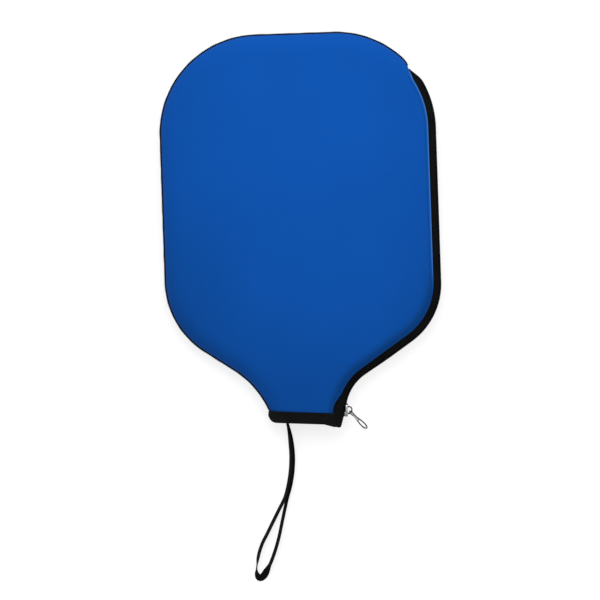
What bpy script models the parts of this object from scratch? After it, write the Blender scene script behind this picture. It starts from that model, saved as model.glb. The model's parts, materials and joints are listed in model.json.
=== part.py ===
"""A zipped neoprene cover for a pickleball paddle, lying on its back panel.

The head of the cover points along +Y, the neck with its wrist strap along -Y,
the zip runs down the +X side and the front panel faces +Z. The origin is on the
back panel's outer face, which rests on the ground at z = 0, halfway across the
head. Front and back panel are two shallow shells that meet at mid height: a
thread seam joins them on the left and over the top, the zip on the right.
"""

import math

import bmesh
import bpy
import numpy as np
from mathutils import Matrix, Vector

MM = 0.001

# --- the outline seen from the front, out to its thread seam and zip chain ---
HALF_WIDTH = 105.8 * MM
HEAD_TOP = 152 * MM
SHOULDER_Y = -70.8 * MM  # where the straight sides would meet the slopes to the neck
MOUTH_Y = -147.3 * MM  # cut edge of the panels at the neck
BELOW_MOUTH = 17 * MM  # the outline is drawn this far past the mouth, then cut
NECK_LEFT = (-24.2 * MM, -126.3 * MM)
NECK_RIGHT = (30.2 * MM, -122.3 * MM)
HEAD_RADIUS = 76 * MM
SHOULDER_RADII = (66 * MM, 54 * MM)  # left, right
NECK_LEFT_RADIUS = 70 * MM
NECK_RIGHT_RADIUS = 34 * MM
ARC_STEP = math.radians(6.5)

# --- the section across the edge ---
THICKNESS = 22 * MM
MID = THICKNESS / 2  # height of the thread seam and of the zip chain
NECK_HALF = 9 * MM  # the neck is thinner, so that its binding stays inside
NECK_SQUEEZE = (-96 * MM, -132 * MM)  # y where the thinning starts and ends
WALL = 3 * MM
GAP = 0.3 * MM  # between pieces that touch
CLOSE = 0.05 * MM  # the finest gap, where a coil lies against its thread
SEAM_INSET = 1.7 * MM  # from the outline in to the panels' edges
EDGE_ROUND = 13 * MM  # how far in the rounded edge reaches
# shares of the way round the edge; the narrow first step keeps the panels' cut edges level
EDGE_RINGS = (0, 0.03, 0.2, 0.4, 0.6, 0.8, 1)

# --- the zip ---
ZIP_TOP = (85.6 * MM, 120.5 * MM)  # where the thread seam stops and the zip starts
ZIP_SETBACK = 6.0 * MM  # from the chain in to the panel's edge
NECK_SETBACK = 10.2 * MM
ZIP_DIP = 4.0 * MM  # how far the chain's upper end ducks under the panels
ZIP_DIP_LENGTH = 20 * MM
COIL_RADIUS = 0.9 * MM
COIL_HEIGHT = 1.15 * MM  # from mid height to the middle of either coil
COIL_END_Y = -140.0 * MM
BOTTOM_STOP = (3.0 * MM, (-1.8 * MM, 0.1 * MM), (-1.0 * MM, 1.0 * MM))  # length, out, up
TOP_STOP = (2.6 * MM, (-2.0 * MM, -1.2 * MM), (0.85 * MM, 2.9 * MM))  # clear of the wedge
TAPE_THICKNESS = 0.8 * MM
TAPE_START = 1.3 * MM  # from mid height to the tape's edge behind the coil
TAPE_RECESS = 0.5 * MM  # the tape's edge lies this deep behind the panels' rounded surface
TAPE_UNDER = math.radians(78)  # how far round the edge the hidden part of the tape goes
TAPE_END = (24 * MM, -151.3 * MM)  # lowest corner of the tapes, past the mouth
TAPE_END_SLOPE = math.radians(20)  # their end rises this much towards the strap
TAPE_END_LEAN = math.radians(31)  # and their outer side leans in this much
THREAD_RADIUS = 0.3 * MM
STITCH_INSET = 2.2 * MM

# --- the neck binding, a tape folded over the panels' cut edges ---
BINDING_TOP_Y = -137.3 * MM
BINDING_INNER_Y = -139.5 * MM
BINDING_THICKNESS = 0.8 * MM
BINDING_STITCH_Y = -139.2 * MM

# --- the front flap ---
FOLD_FOOT = (-10 * MM, MOUTH_Y)
FOLD_AXIS_Z = THICKNESS + 0.2 * MM

# --- the slider, built on the chain where the neck's arc ends, then turned back a little ---
SLIDER_REST_TURN = math.radians(-3.5)
SLIDER_LENGTH = 10 * MM
SLIDER_HALF_WIDTH = 3.9 * MM
CHANNEL_HALF_WIDTH = 3.0 * MM
PLATE_OUT = (0.45 * MM, 1.2 * MM)  # outer plate, measured out from the chain's outer side
FLANGE_DEPTH = 0.45 * MM
WEDGE_SIZE = (2.4 * MM, 1.1 * MM)  # along the chain, across it
WEDGE_BACK = 0.4 * MM  # from the slider's nose to the wedge
WEDGE_ROOT = 0.2 * MM  # how far the wedge runs into either plate
INNER_PLATE = (-5.3 * MM, -4.3 * MM)
INNER_HALF_WIDTH = 1.7 * MM
BRIDGE_CENTRE_OUT = 1.7 * MM
BRIDGE_RADIUS = 2.6 * MM
BRIDGE_WIRE = 0.5 * MM

# --- the pull tab, measured from the bridge's centre ---
TAB_HANG = math.radians(-47)  # from straight out towards the mouth
TAB_ROLL = math.radians(30)  # turned this far about its own length, from edge-on
TAB_START = 0.9 * MM
TAB_TIP = 20.2 * MM
TAB_THICKNESS = 0.9 * MM
TAB_NARROW = 1.8 * MM  # half widths
TAB_WIDE = 3.5 * MM
TAB_EYE = (3.2 * MM, 1.4 * MM, 1.25 * MM)  # centre, half length, half width
TAB_WINDOW = (14.6 * MM, 3.6 * MM, 2.2 * MM)

# --- the wrist strap, a ribbon standing on its edge on the ground ---
STRAP_WIDTH = 5.5 * MM
STRAP_THICKNESS = 0.9 * MM
# points down the left strand, round the end and back up the right one, in mm
STRAP_ROUTE = [
    (-16.0, -148.7), (-14.6, -157.0), (-13.7, -167.0), (-13.6, -176.0),
    (-14.6, -186.0), (-16.6, -196.0), (-19.2, -204.5), (-24.2, -213.8),
    (-29.0, -222.8), (-33.4, -231.1), (-37.4, -238.4), (-40.3, -246.0),
    (-42.0, -253.6), (-42.6, -260.0), (-41.0, -265.0), (-38.0, -264.4),
    (-35.2, -260.6), (-32.2, -255.0), (-29.4, -248.6), (-26.8, -241.4),
    (-24.4, -233.4), (-21.9, -223.1), (-19.4, -213.0), (-17.0, -203.8),
    (-14.4, -195.4), (-12.4, -185.8), (-11.4, -176.0), (-11.5, -167.0),
    (-12.4, -157.0), (-13.8, -148.7),
]

SHARP_ANGLE = math.radians(40)  # edges that turn more than this are drawn sharp

BLUE = (0.02, 0.11, 0.46, 1)
BLACK = (0.012, 0.012, 0.013, 1)
THREAD_BLACK = (0.02, 0.02, 0.022, 1)
METAL = (0.42, 0.43, 0.45, 1)


# ----------------------------------------------------------------- tools

def clear_scene():
    for thing in list(bpy.data.objects):
        bpy.data.objects.remove(thing, do_unlink=True)


def new_collection(name):
    collection = bpy.data.collections.new(name)
    bpy.context.scene.collection.children.link(collection)
    return collection


def new_material(name, colour, roughness, metallic=0.0):
    material = bpy.data.materials.new(name)
    material.use_nodes = True
    shader = material.node_tree.nodes["Principled BSDF"]
    shader.inputs["Base Color"].default_value = colour
    shader.inputs["Roughness"].default_value = roughness
    shader.inputs["Metallic"].default_value = metallic
    return material


def smooth(t):
    """0 below 0, 1 above 1, and a soft S between."""
    t = np.clip(t, 0.0, 1.0)
    return t * t * (3 - 2 * t)


def add_object(name, data, material, parent=None):
    thing = bpy.data.objects.new(name, data)
    COVER.objects.link(thing)
    data.materials.append(material)
    if parent:
        bpy.context.view_layer.update()
        thing.parent = parent
        thing.matrix_parent_inverse = parent.matrix_world.inverted()
    return thing


def add_empty(name, matrix, parent=None):
    """A joint's pivot, which the pieces that move with it hang on."""
    empty = bpy.data.objects.new(name, None)
    COVER.objects.link(empty)
    empty.empty_display_size = 10 * MM
    if parent:
        empty.parent = parent
        empty.matrix_parent_inverse = parent.matrix_world.inverted()
    empty.matrix_world = matrix
    bpy.context.view_layer.update()
    return empty


def to_mesh(name, mesh_source):
    mesh = bpy.data.meshes.new(name)
    mesh_source.to_mesh(mesh)
    mesh_source.free()
    return mesh


def finish_mesh(name, mesh_source, material, parent=None):
    mesh = to_mesh(name, mesh_source)
    mesh.shade_smooth()
    mesh.set_sharp_from_angle(angle=SHARP_ANGLE)
    return add_object(name, mesh, material, parent)


def add_wall(thing, thickness):
    """Give a sheet its thickness, on the inner side."""
    solidify = thing.modifiers.new("wall", "SOLIDIFY")
    solidify.thickness = thickness
    solidify.offset = -1
    solidify.use_even_offset = True


def sheet_from_rings(rings, flip):
    """An open sheet of quads through rings of points; flip turns its faces over."""
    sheet = bmesh.new()
    rows = [[sheet.verts.new(point) for point in ring] for ring in rings]
    for low, high in zip(rows, rows[1:]):
        for a, b, c, d in zip(low, low[1:], high[1:], high):
            sheet.faces.new((a, d, c, b) if flip else (a, b, c, d))
    return sheet, rows


def loft(rings):
    """A closed body skinned over closed sections, with both ends capped."""
    body = bmesh.new()
    rows = [[body.verts.new(point) for point in ring] for ring in rings]
    for low, high in zip(rows, rows[1:]):
        for k in range(len(low)):
            n = (k + 1) % len(low)
            body.faces.new((low[k], low[n], high[n], high[k]))
    body.faces.new(rows[0])
    body.faces.new(rows[-1])
    bmesh.ops.recalc_face_normals(body, faces=body.faces[:])
    return body


def cut_away(sheet, point, normal, below=math.inf):
    """Remove what lies beyond a plane, on the side its normal points to.

    Only faces that lie wholly under y = below are cut.
    """
    faces = [f for f in sheet.faces if all(v.co.y < below for v in f.verts)]
    edges = {e for f in faces for e in f.edges}
    verts = {v for f in faces for v in f.verts}
    bmesh.ops.bisect_plane(
        sheet, geom=[*verts, *edges, *faces], plane_co=point, plane_no=normal,
        clear_outer=True,
    )


def add_tube(name, points, radius, material, parent=None, sides=2):
    """A thread or wire: a curve with a round bevel and filled caps."""
    curve = bpy.data.curves.new(name, "CURVE")
    curve.dimensions = "3D"
    curve.bevel_depth = radius
    curve.bevel_resolution = sides
    curve.use_fill_caps = True
    spline = curve.splines.new("POLY")
    spline.points.add(len(points) - 1)
    for knot, point in zip(spline.points, points):
        knot.co = (*point, 1)
    return add_object(name, curve, material, parent)


# ----------------------------------------------------------------- outline

def rounded_path(corners):
    """Points and inward normals of straight runs joined by arcs, clockwise.

    Each corner is (x, y, radius). The path has a point at each arc's ends and
    about every ARC_STEP between them.
    """
    points, normals = [], []
    places = [np.array(corner[:2]) for corner in corners]

    def put(place, heading):
        points.append(place)
        normals.append((heading[1], -heading[0]))

    def heading_from(a, b):
        run = places[b] - places[a]
        return run / np.linalg.norm(run)

    put(places[0], heading_from(0, 1))
    for i in range(1, len(corners) - 1):
        before, after = heading_from(i - 1, i), heading_from(i, i + 1)
        turn = math.atan2(before[0] * after[1] - before[1] * after[0], before @ after)
        radius = math.copysign(corners[i][2], turn)
        centre = (
            places[i]
            - before * abs(radius) * math.tan(abs(turn) / 2)
            + radius * np.array((-before[1], before[0]))
        )
        steps = max(2, math.ceil(abs(turn) / ARC_STEP))
        for k in range(steps + 1):
            angle = turn * k / steps
            heading = np.array((
                before[0] * math.cos(angle) - before[1] * math.sin(angle),
                before[0] * math.sin(angle) + before[1] * math.cos(angle),
            ))
            put(centre - radius * np.array((-heading[1], heading[0])), heading)
    put(places[-1], heading_from(-2, -1))
    return np.array(points), np.array(normals)


def cover_outline():
    """The whole outline from below the mouth's left side round to its right."""
    foot = MOUTH_Y - BELOW_MOUTH
    return rounded_path([
        (NECK_LEFT[0], foot, 0),
        (*NECK_LEFT, NECK_LEFT_RADIUS),
        (-HALF_WIDTH, SHOULDER_Y, SHOULDER_RADII[0]),
        (-HALF_WIDTH, HEAD_TOP, HEAD_RADIUS),
        (HALF_WIDTH, HEAD_TOP, HEAD_RADIUS),
        (HALF_WIDTH, SHOULDER_Y, SHOULDER_RADII[1]),
        (*NECK_RIGHT, NECK_RIGHT_RADIUS),
        (NECK_RIGHT[0], foot, 0),
    ])


PATH, INWARD = cover_outline()
REACH = np.concatenate([[0], np.cumsum(np.linalg.norm(np.diff(PATH, axis=0), axis=1))])


def reach_nearest(x, y):
    """Distance along the outline to the place on it nearest to a point."""
    fine = np.linspace(0, REACH[-1], 4000)
    spots = np.stack([np.interp(fine, REACH, PATH[:, k]) for k in (0, 1)], axis=1)
    return fine[np.linalg.norm(spots - (x, y), axis=1).argmin()]


def outline_at(reach):
    """Points and inward unit normals at distances along the outline."""
    place = np.stack([np.interp(reach, REACH, PATH[:, k]) for k in (0, 1)], axis=-1)
    inward = np.stack([np.interp(reach, REACH, INWARD[:, k]) for k in (0, 1)], axis=-1)
    return place, inward / np.linalg.norm(inward, axis=-1, keepdims=True)


ZIP_REACH = reach_nearest(*ZIP_TOP)
RIGHT_MOUTH_REACH = reach_nearest(NECK_RIGHT[0], MOUTH_Y)
LEFT_MOUTH_REACH = reach_nearest(NECK_LEFT[0], MOUTH_Y)


def stations(start, end, extra=()):
    """The outline's own points between two distances, with any extra ones."""
    inside = REACH[(REACH > start + 1 * MM) & (REACH < end - 1 * MM)]
    every = np.unique(np.concatenate([[start, end], inside, extra]))
    keep = np.concatenate([[True], np.diff(every) > 0.4 * MM])
    return every[keep & (every >= start) & (every <= end)]


def around_zip_top(before, after, step=4 * MM):
    return np.arange(ZIP_REACH - before, ZIP_REACH + after, step)


# ----------------------------------------------------------------- edge section

def neck_scale(y):
    """Half the cover's thickness at y as a share of the head's: less at the neck."""
    start, end = NECK_SQUEEZE
    return 1 - (1 - NECK_HALF / MID) * smooth((start - y) / (start - end))


def panel_setback(reach):
    """How far in from the outline the panels' edges lie: little along the thread
    seam, more along the zip, and most where the zip meets the mouth."""
    place, _ = outline_at(reach)
    zip_side = smooth((reach - ZIP_REACH + 10 * MM) / (22 * MM))
    neck = smooth((-126 * MM - place[..., 1]) / (12 * MM)) * (reach > ZIP_REACH)
    return (
        SEAM_INSET
        + (ZIP_SETBACK - SEAM_INSET) * zip_side
        + (NECK_SETBACK - ZIP_SETBACK) * neck
    )


def chain_dip(reach):
    """How far the chain's upper end ducks in under the panels."""
    return ZIP_DIP * (1 - smooth((reach - ZIP_REACH) / ZIP_DIP_LENGTH))


def angle_at_setback(setback):
    """Angle round the elliptical edge section at which it is this far in."""
    return np.arccos(np.clip(1 - (setback - SEAM_INSET) / EDGE_ROUND, -1, 1))


def edge_point(reach, angle, side, depth=0.0, slide=0.0):
    """A point under the panels' outer surface.

    reach goes along the outline and angle round the edge section, from 0 at mid
    height to a right angle where the flat face starts. depth goes in through the
    wall, and slide moves the point in across the outline.
    """
    place, inward = outline_at(reach)
    inset = SEAM_INSET + EDGE_ROUND * (1 - np.cos(angle)) + slide
    scale = neck_scale((place + inward * inset[..., None])[..., 1])
    low = GAP / 2
    rise = MID * scale - low
    normal = np.stack([np.cos(angle) / EDGE_ROUND, np.sin(angle) / rise], axis=-1)
    normal /= np.linalg.norm(normal, axis=-1, keepdims=True)
    flat = place + inward * (inset + depth * normal[..., 0])[..., None]
    height = low + rise * np.sin(angle) - depth * normal[..., 1]
    return np.concatenate([flat, (MID + side * height)[..., None]], axis=-1)


# ----------------------------------------------------------------- panels

def panel_sheet(side):
    """The whole outer surface of a panel: a rounded edge round a flat middle."""
    reach = stations(0, REACH[-1], around_zip_top(14 * MM, 18 * MM))
    start = angle_at_setback(panel_setback(reach))
    rings = [
        edge_point(reach, start + (math.pi / 2 - start) * share, side)
        for share in EDGE_RINGS
    ]
    sheet, rows = sheet_from_rings(rings, flip=side > 0)
    in_middle = sheet.faces.layers.int.new("in_middle")
    middle = sheet.faces.new(rows[-1] if side < 0 else rows[-1][::-1])
    middle[in_middle] = 1
    bmesh.ops.triangulate(sheet, faces=[middle])
    # rows of points across the middle, where the neck gets thinner
    for y in np.linspace(*NECK_SQUEEZE, 5):
        everything = sheet.verts[:] + sheet.edges[:] + sheet.faces[:]
        bmesh.ops.bisect_plane(
            sheet, geom=everything, plane_co=(0, y, 0), plane_no=(0, 1, 0)
        )
    for vert in {v for face in sheet.faces if face[in_middle] for v in face.verts}:
        vert.co.z = MID + side * MID * float(neck_scale(vert.co.y))
    cut_away(sheet, (0, MOUTH_Y, 0), (0, -1, 0))
    return sheet


def fold_plane(shift):
    """A point on the fold, moved towards the flap, and the normal that way."""
    along = Vector((ZIP_TOP[0] - FOLD_FOOT[0], ZIP_TOP[1] - FOLD_FOOT[1], 0)).normalized()
    towards_flap = Vector((along.y, -along.x, 0))
    return Vector((*FOLD_FOOT, 0)) + towards_flap * shift, towards_flap


def add_panels():
    back = finish_mesh("back_panel", panel_sheet(-1), NEOPRENE)
    add_wall(back, WALL)

    kept = panel_sheet(1)
    point, towards_flap = fold_plane(-GAP / 2)
    cut_away(kept, point, towards_flap)
    add_wall(finish_mesh("front_panel", kept, NEOPRENE), WALL)

    lifted = panel_sheet(1)
    point, towards_flap = fold_plane(GAP / 2)
    cut_away(lifted, point, -towards_flap)
    add_wall(finish_mesh("front_flap", lifted, NEOPRENE, FLAP_PIVOT), WALL)


def add_edge_seam():
    """The overlock thread, one bead on the panels' meeting edges."""
    lower_left = reach_nearest(-29.5 * MM, BINDING_TOP_Y) + 1.2 * MM
    reach = stations(lower_left, ZIP_REACH - 1.5 * MM, around_zip_top(12 * MM, 0))
    radius = (SEAM_INSET - GAP) / 2
    inset = radius + (ZIP_DIP - 1.2 * MM) * smooth((reach - ZIP_REACH + 11 * MM) / (10 * MM))
    place, inward = outline_at(reach)
    flat = place + inward * inset[:, None]
    points = np.column_stack([flat, np.full(len(flat), MID)])
    add_tube("edge_seam_thread", points, radius, THREAD)


# ----------------------------------------------------------------- zip

def chain_point(reach, outward, height):
    """A point beside the zip chain: outward from its outer side, and above mid height."""
    place, inward = outline_at(reach)
    flat = place + inward * (chain_dip(reach) - outward)[..., None]
    level = np.full(flat.shape[:-1] + (1,), MID + height)
    return np.concatenate([flat, level], axis=-1)


def tape_sheet(side):
    """A zip tape's outer surface, from behind the coil to under the panel."""
    reach = stations(
        ZIP_REACH + 2.5 * MM,
        RIGHT_MOUTH_REACH + 9 * MM,
        np.concatenate([around_zip_top(0, 24 * MM), RIGHT_MOUTH_REACH + np.arange(-18, 9, 3) * MM]),
    )
    rim = angle_at_setback(panel_setback(reach))
    first = math.asin(TAPE_START / MID)
    place, _ = outline_at(reach)
    at_mouth = smooth((-130 * MM - place[:, 1]) / (6 * MM))
    last = TAPE_UNDER - at_mouth * (TAPE_UNDER - rim + math.radians(2.5))
    rings = []
    for share in np.linspace(0, 1, 7):
        angle = first + (last - first) * share
        tucked = smooth(angle / rim)
        depth = TAPE_RECESS + (WALL + GAP - TAPE_RECESS) * tucked
        rings.append(edge_point(reach, angle, side, depth, chain_dip(reach) * (1 - tucked)))
    sheet, _ = sheet_from_rings(rings, flip=side > 0)
    downward = (-math.sin(TAPE_END_SLOPE), -math.cos(TAPE_END_SLOPE), 0)
    cut_away(sheet, (*TAPE_END, 0), downward, BINDING_TOP_Y)
    inward_lean = (math.cos(TAPE_END_LEAN), -math.sin(TAPE_END_LEAN), 0)
    cut_away(sheet, (*TAPE_END, 0), inward_lean, BINDING_TOP_Y)
    return sheet


def add_tapes():
    back = finish_mesh("zip_tape_back", tape_sheet(-1), TAPE)
    add_wall(back, TAPE_THICKNESS)
    front = tape_sheet(1)
    point, towards_flap = fold_plane(GAP / 2)
    cut_away(front, point, -towards_flap)
    add_wall(finish_mesh("zip_tape_front", front, TAPE, FLAP_PIVOT), TAPE_THICKNESS)


COIL_START = ZIP_REACH + 6.5 * MM
COIL_END = reach_nearest(NECK_RIGHT[0], COIL_END_Y)


def add_coils():
    for name, side, parent in SIDES:
        reach = stations(COIL_START, COIL_END, around_zip_top(0, 24 * MM))
        points = chain_point(reach, -COIL_RADIUS - CLOSE, side * COIL_HEIGHT)
        add_tube(f"zip_coil_{name}", points, COIL_RADIUS, COIL, parent)


def add_stop(name, reach, length, outward, height, parent=None):
    """A small clamp: a bevelled box set along the chain, from ranges out and up."""
    place, inward = outline_at(np.array(reach))
    dip = float(chain_dip(np.array(reach)))
    centre = Vector((*(place + inward * (dip - sum(outward) / 2)), MID + sum(height) / 2))
    box = bmesh.new()
    bmesh.ops.create_cube(box, size=1)
    sides = (length, outward[1] - outward[0], height[1] - height[0])
    bmesh.ops.scale(box, vec=sides, verts=box.verts[:])
    bmesh.ops.bevel(
        box, geom=box.edges[:], offset=0.2 * MM, segments=1, affect="EDGES", profile=0.5
    )
    out = Vector((-inward[0], -inward[1], 0))
    up = Vector((0, 0, 1))
    turn = Matrix((out.cross(up), out, up)).transposed()
    bmesh.ops.transform(box, matrix=turn.to_4x4(), verts=box.verts[:])
    bmesh.ops.translate(box, vec=centre, verts=box.verts[:])
    finish_mesh(name, box, METAL_DARK, parent)


def add_stops():
    """One stop across the chain at the seam, and one on each tape at the neck."""
    add_stop("zip_bottom_stop", COIL_START - 1.9 * MM, *BOTTOM_STOP)
    length, outward, height = TOP_STOP
    for name, side, parent in SIDES:
        up = sorted(side * level for level in height)
        add_stop(f"zip_top_stop_{name}", COIL_END + 1.7 * MM, length, outward, up, parent)


def add_tape_stitches():
    """The thread that holds each tape, lying on its panel along the panel's edge."""
    rest = THREAD_RADIUS + GAP
    for name, side, parent in SIDES:
        reach = stations(ZIP_REACH + 8 * MM, REACH[-1], around_zip_top(0, 24 * MM))
        place, _ = outline_at(reach)
        reach = reach[place[:, 1] > BINDING_TOP_Y + 1.5 * MM]
        angle = angle_at_setback(panel_setback(reach) + STITCH_INSET)
        points = edge_point(reach, angle, side, -rest * np.ones_like(reach))
        add_tube(f"tape_stitch_{name}", points, THREAD_RADIUS, THREAD_BLUE, parent, 1)


# ----------------------------------------------------------------- neck binding

def mouth_section(y, side, run):
    """Reach and angle of points round one side of the neck at height y.

    run picks the left or right edge; the points go from the panel's edge in to
    the start of its flat face.
    """
    reach = np.linspace(0, LEFT_MOUTH_REACH + 30 * MM, 400)
    if run == "right":
        reach = np.linspace(RIGHT_MOUTH_REACH - 30 * MM, REACH[-1], 400)
    start = angle_at_setback(panel_setback(reach))
    points = []
    for share in EDGE_RINGS:
        line = edge_point(reach, start + (math.pi / 2 - start) * share, side)
        order = np.argsort(line[:, 1])
        points.append([np.interp(y, line[order, 1], line[order, k]) for k in range(3)])
    return np.array(points)


def neck_loop(y, offset, pieces):
    """Points round the neck at height y, moved out by offset from the panels.

    pieces lists (side, run) in order; a number stands for the x of a point on
    the front's flat face.
    """
    points = []
    for piece in pieces:
        if isinstance(piece, float):
            points.append([piece, y, MID + NECK_HALF])
        else:
            section = mouth_section(y, *piece[:2])
            points.extend(section[::-1] if piece[2] else section)
    points = np.array(points)
    steps = np.gradient(points[:, (0, 2)], axis=0)
    outward = np.column_stack([steps[:, 1], -steps[:, 0]])
    outward /= np.linalg.norm(outward, axis=1, keepdims=True)
    return points + offset * np.column_stack([outward[:, 0], 0 * outward[:, 0], outward[:, 1]])


def fold_x(y, shift):
    """x of the fold at height y, moved towards the flap."""
    point, towards_flap = fold_plane(shift)
    return point.x - (y - point.y) * towards_flap.y / towards_flap.x


def add_binding(name, pieces_at, parent=None):
    """A folded tape: a U-shaped section swept round the neck's cut edges."""
    near, far = GAP, GAP + BINDING_THICKNESS
    inner_near, inner_far = -WALL - near, -WALL - far
    fold = MOUTH_Y - near
    section = [
        (BINDING_TOP_Y, near), (BINDING_TOP_Y, far),
        (fold - BINDING_THICKNESS, far), (fold - BINDING_THICKNESS, inner_far),
        (BINDING_INNER_Y, inner_far), (BINDING_INNER_Y, inner_near),
        (fold, inner_near), (fold, near),
    ]
    corners = [neck_loop(y, offset, pieces_at(y)) for y, offset in section]
    finish_mesh(name, loft(np.stack(corners, axis=1)), BINDING, parent)


def fixed_neck(y):
    """From the fold on the front, round the left corner, to the back's right edge."""
    return [fold_x(y, -GAP / 2), (1, "left", True), (-1, "left", False), (-1, "right", True)]


def flap_neck(y):
    return [(1, "right", False), fold_x(y, GAP / 2)]


def add_bindings():
    add_binding("neck_binding", fixed_neck)
    add_binding("neck_binding_flap", flap_neck, FLAP_PIVOT)
    lift = 2 * GAP + BINDING_THICKNESS + THREAD_RADIUS
    for name, pieces_at, parent in (
        ("binding_stitch", fixed_neck, None),
        ("binding_stitch_flap", flap_neck, FLAP_PIVOT),
    ):
        points = neck_loop(BINDING_STITCH_Y, lift, pieces_at(BINDING_STITCH_Y))
        add_tube(name, points, THREAD_RADIUS, THREAD, parent, 1)


# ----------------------------------------------------------------- slider

def box_part(sides, centre, bevel=0.0):
    box = bmesh.new()
    bmesh.ops.create_cube(box, size=1)
    bmesh.ops.scale(box, vec=sides, verts=box.verts[:])
    if bevel:
        upright = [e for e in box.edges if abs((e.verts[0].co - e.verts[1].co).y) > sides[1] / 2]
        bmesh.ops.bevel(box, geom=upright, offset=bevel, segments=3, affect="EDGES", profile=0.5)
    bmesh.ops.translate(box, vec=centre, verts=box.verts[:])
    return box


def add_cutter(name, mesh_source):
    """A helper body for the slider, in the slider's axes."""
    cutter = bpy.data.objects.new(name, to_mesh(name, mesh_source))
    CUTTERS.objects.link(cutter)
    cutter.matrix_world = SLIDER_FRAME
    cutter.hide_render = True
    cutter.display_type = "WIRE"
    return cutter


def add_boolean(thing, cutter, operation):
    boolean = thing.modifiers.new(cutter.name, "BOOLEAN")
    boolean.operation = operation
    boolean.object = cutter
    boolean.solver = "EXACT"


def add_slider():
    """The slider body in its own axes: X along the chain, Y out, Z across it."""
    plate_low, plate_high = PLATE_OUT
    outer = box_part(
        (SLIDER_LENGTH, plate_high + FLANGE_DEPTH, 2 * SLIDER_HALF_WIDTH),
        (0, (plate_high - FLANGE_DEPTH) / 2, 0), bevel=1.6 * MM,
    )
    body = add_object("slider_body", to_mesh("slider_body", outer), METAL_BRIGHT)
    body.matrix_world = SLIDER_FRAME
    cut_depth = 2 * FLANGE_DEPTH  # deeper than the flanges, so they are cut right through
    channel = box_part(
        (2 * SLIDER_LENGTH, cut_depth + plate_low, 2 * CHANNEL_HALF_WIDTH),
        (0, (plate_low - cut_depth) / 2, 0),
    )
    add_boolean(body, add_cutter("slider_channel", channel), "DIFFERENCE")
    inner_low, inner_high = INNER_PLATE
    wedge_low = inner_high - WEDGE_ROOT
    wedge_high = plate_low + WEDGE_ROOT
    wedge = box_part(
        (WEDGE_SIZE[0], wedge_high - wedge_low, WEDGE_SIZE[1]),
        (-SLIDER_LENGTH / 2 + WEDGE_BACK + WEDGE_SIZE[0] / 2, (wedge_high + wedge_low) / 2, 0),
    )
    add_boolean(body, add_cutter("slider_wedge", wedge), "UNION")
    inner = box_part(
        (SLIDER_LENGTH - 2 * GAP, inner_high - inner_low, 2 * INNER_HALF_WIDTH),
        (0, (inner_low + inner_high) / 2, 0), bevel=1.2 * MM,
    )
    add_boolean(body, add_cutter("slider_inner_plate", inner), "UNION")
    hang_on(body, SLIDER_PIVOT)

    turns = np.linspace(0, math.pi, 13)
    foot = PLATE_OUT[1] + GAP
    arch = [(BRIDGE_RADIUS * math.cos(a), BRIDGE_CENTRE_OUT + BRIDGE_RADIUS * math.sin(a), 0)
            for a in turns]
    arch = [(BRIDGE_RADIUS, foot, 0), *arch, (-BRIDGE_RADIUS, foot, 0)]
    points = [SLIDER_FRAME @ Vector(point) for point in arch]
    add_tube("slider_bridge", points, BRIDGE_WIRE, METAL_BRIGHT, SLIDER_PIVOT)


def hang_on(thing, parent):
    """Parent a placed object without moving it."""
    bpy.context.view_layer.update()
    placed = thing.matrix_world.copy()
    thing.parent = parent
    thing.matrix_parent_inverse = parent.matrix_world.inverted()
    thing.matrix_world = placed


def flat_loop(curve, points):
    spline = curve.splines.new("POLY")
    spline.points.add(len(points) - 1)
    for knot, point in zip(spline.points, points):
        knot.co = (*point, 0, 1)
    spline.use_cyclic_u = True


def oval(centre, half_length, half_width, count=16):
    turns = np.linspace(0, 2 * math.pi, count, endpoint=False)
    return [(centre + half_length * math.cos(a), half_width * math.sin(a)) for a in turns]


def add_pull_tab():
    """A flat tab with an eye at the bridge, a plate, and a window at its round end."""
    curve = bpy.data.curves.new("pull_tab", "CURVE")
    curve.dimensions = "2D"
    curve.fill_mode = "BOTH"
    curve.extrude = TAB_THICKNESS / 2
    tip = [(TAB_TIP - TAB_WIDE + TAB_WIDE * math.cos(a), TAB_WIDE * math.sin(a))
           for a in np.linspace(-math.pi / 2, math.pi / 2, 9)]
    top = [(TAB_START + TAB_NARROW + TAB_NARROW * math.cos(a), TAB_NARROW * math.sin(a))
           for a in np.linspace(math.pi / 2, 3 * math.pi / 2, 9)]
    flat_loop(curve, tip + top)
    flat_loop(curve, oval(*TAB_EYE))
    flat_loop(curve, oval(*TAB_WINDOW))
    tab = add_object("pull_tab", curve, METAL_BRIGHT)
    hang = Matrix.Rotation(TAB_HANG, 4, "Z")
    edge_on = Matrix.Rotation(math.pi / 2 - TAB_ROLL, 4, "X")
    tab.matrix_world = TAB_PIVOT.matrix_world @ hang @ edge_on
    hang_on(tab, TAB_PIVOT)


# ----------------------------------------------------------------- strap

def add_strap():
    """The ribbon, one loop with both ends at the binding."""
    curve = bpy.data.curves.new("wrist_strap", "CURVE")
    curve.dimensions = "3D"
    curve.twist_mode = "Z_UP"
    curve.bevel_depth = STRAP_THICKNESS / 2
    curve.bevel_resolution = 0
    curve.extrude = (STRAP_WIDTH - STRAP_THICKNESS) / 2
    curve.use_fill_caps = True
    spline = curve.splines.new("POLY")
    spline.points.add(len(STRAP_ROUTE) - 1)
    for knot, (x, y) in zip(spline.points, STRAP_ROUTE):
        knot.co = (x * MM, y * MM, STRAP_WIDTH / 2 + 0.1 * MM, 1)
    add_object("wrist_strap", curve, STRAP)
    bar = box_part((8 * MM, 1.6 * MM, 0.5 * MM), (-14.9 * MM, -144 * MM, 0.35 * MM))
    finish_mesh("strap_bartack", bar, THREAD)


# ----------------------------------------------------------------- assembly

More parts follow.
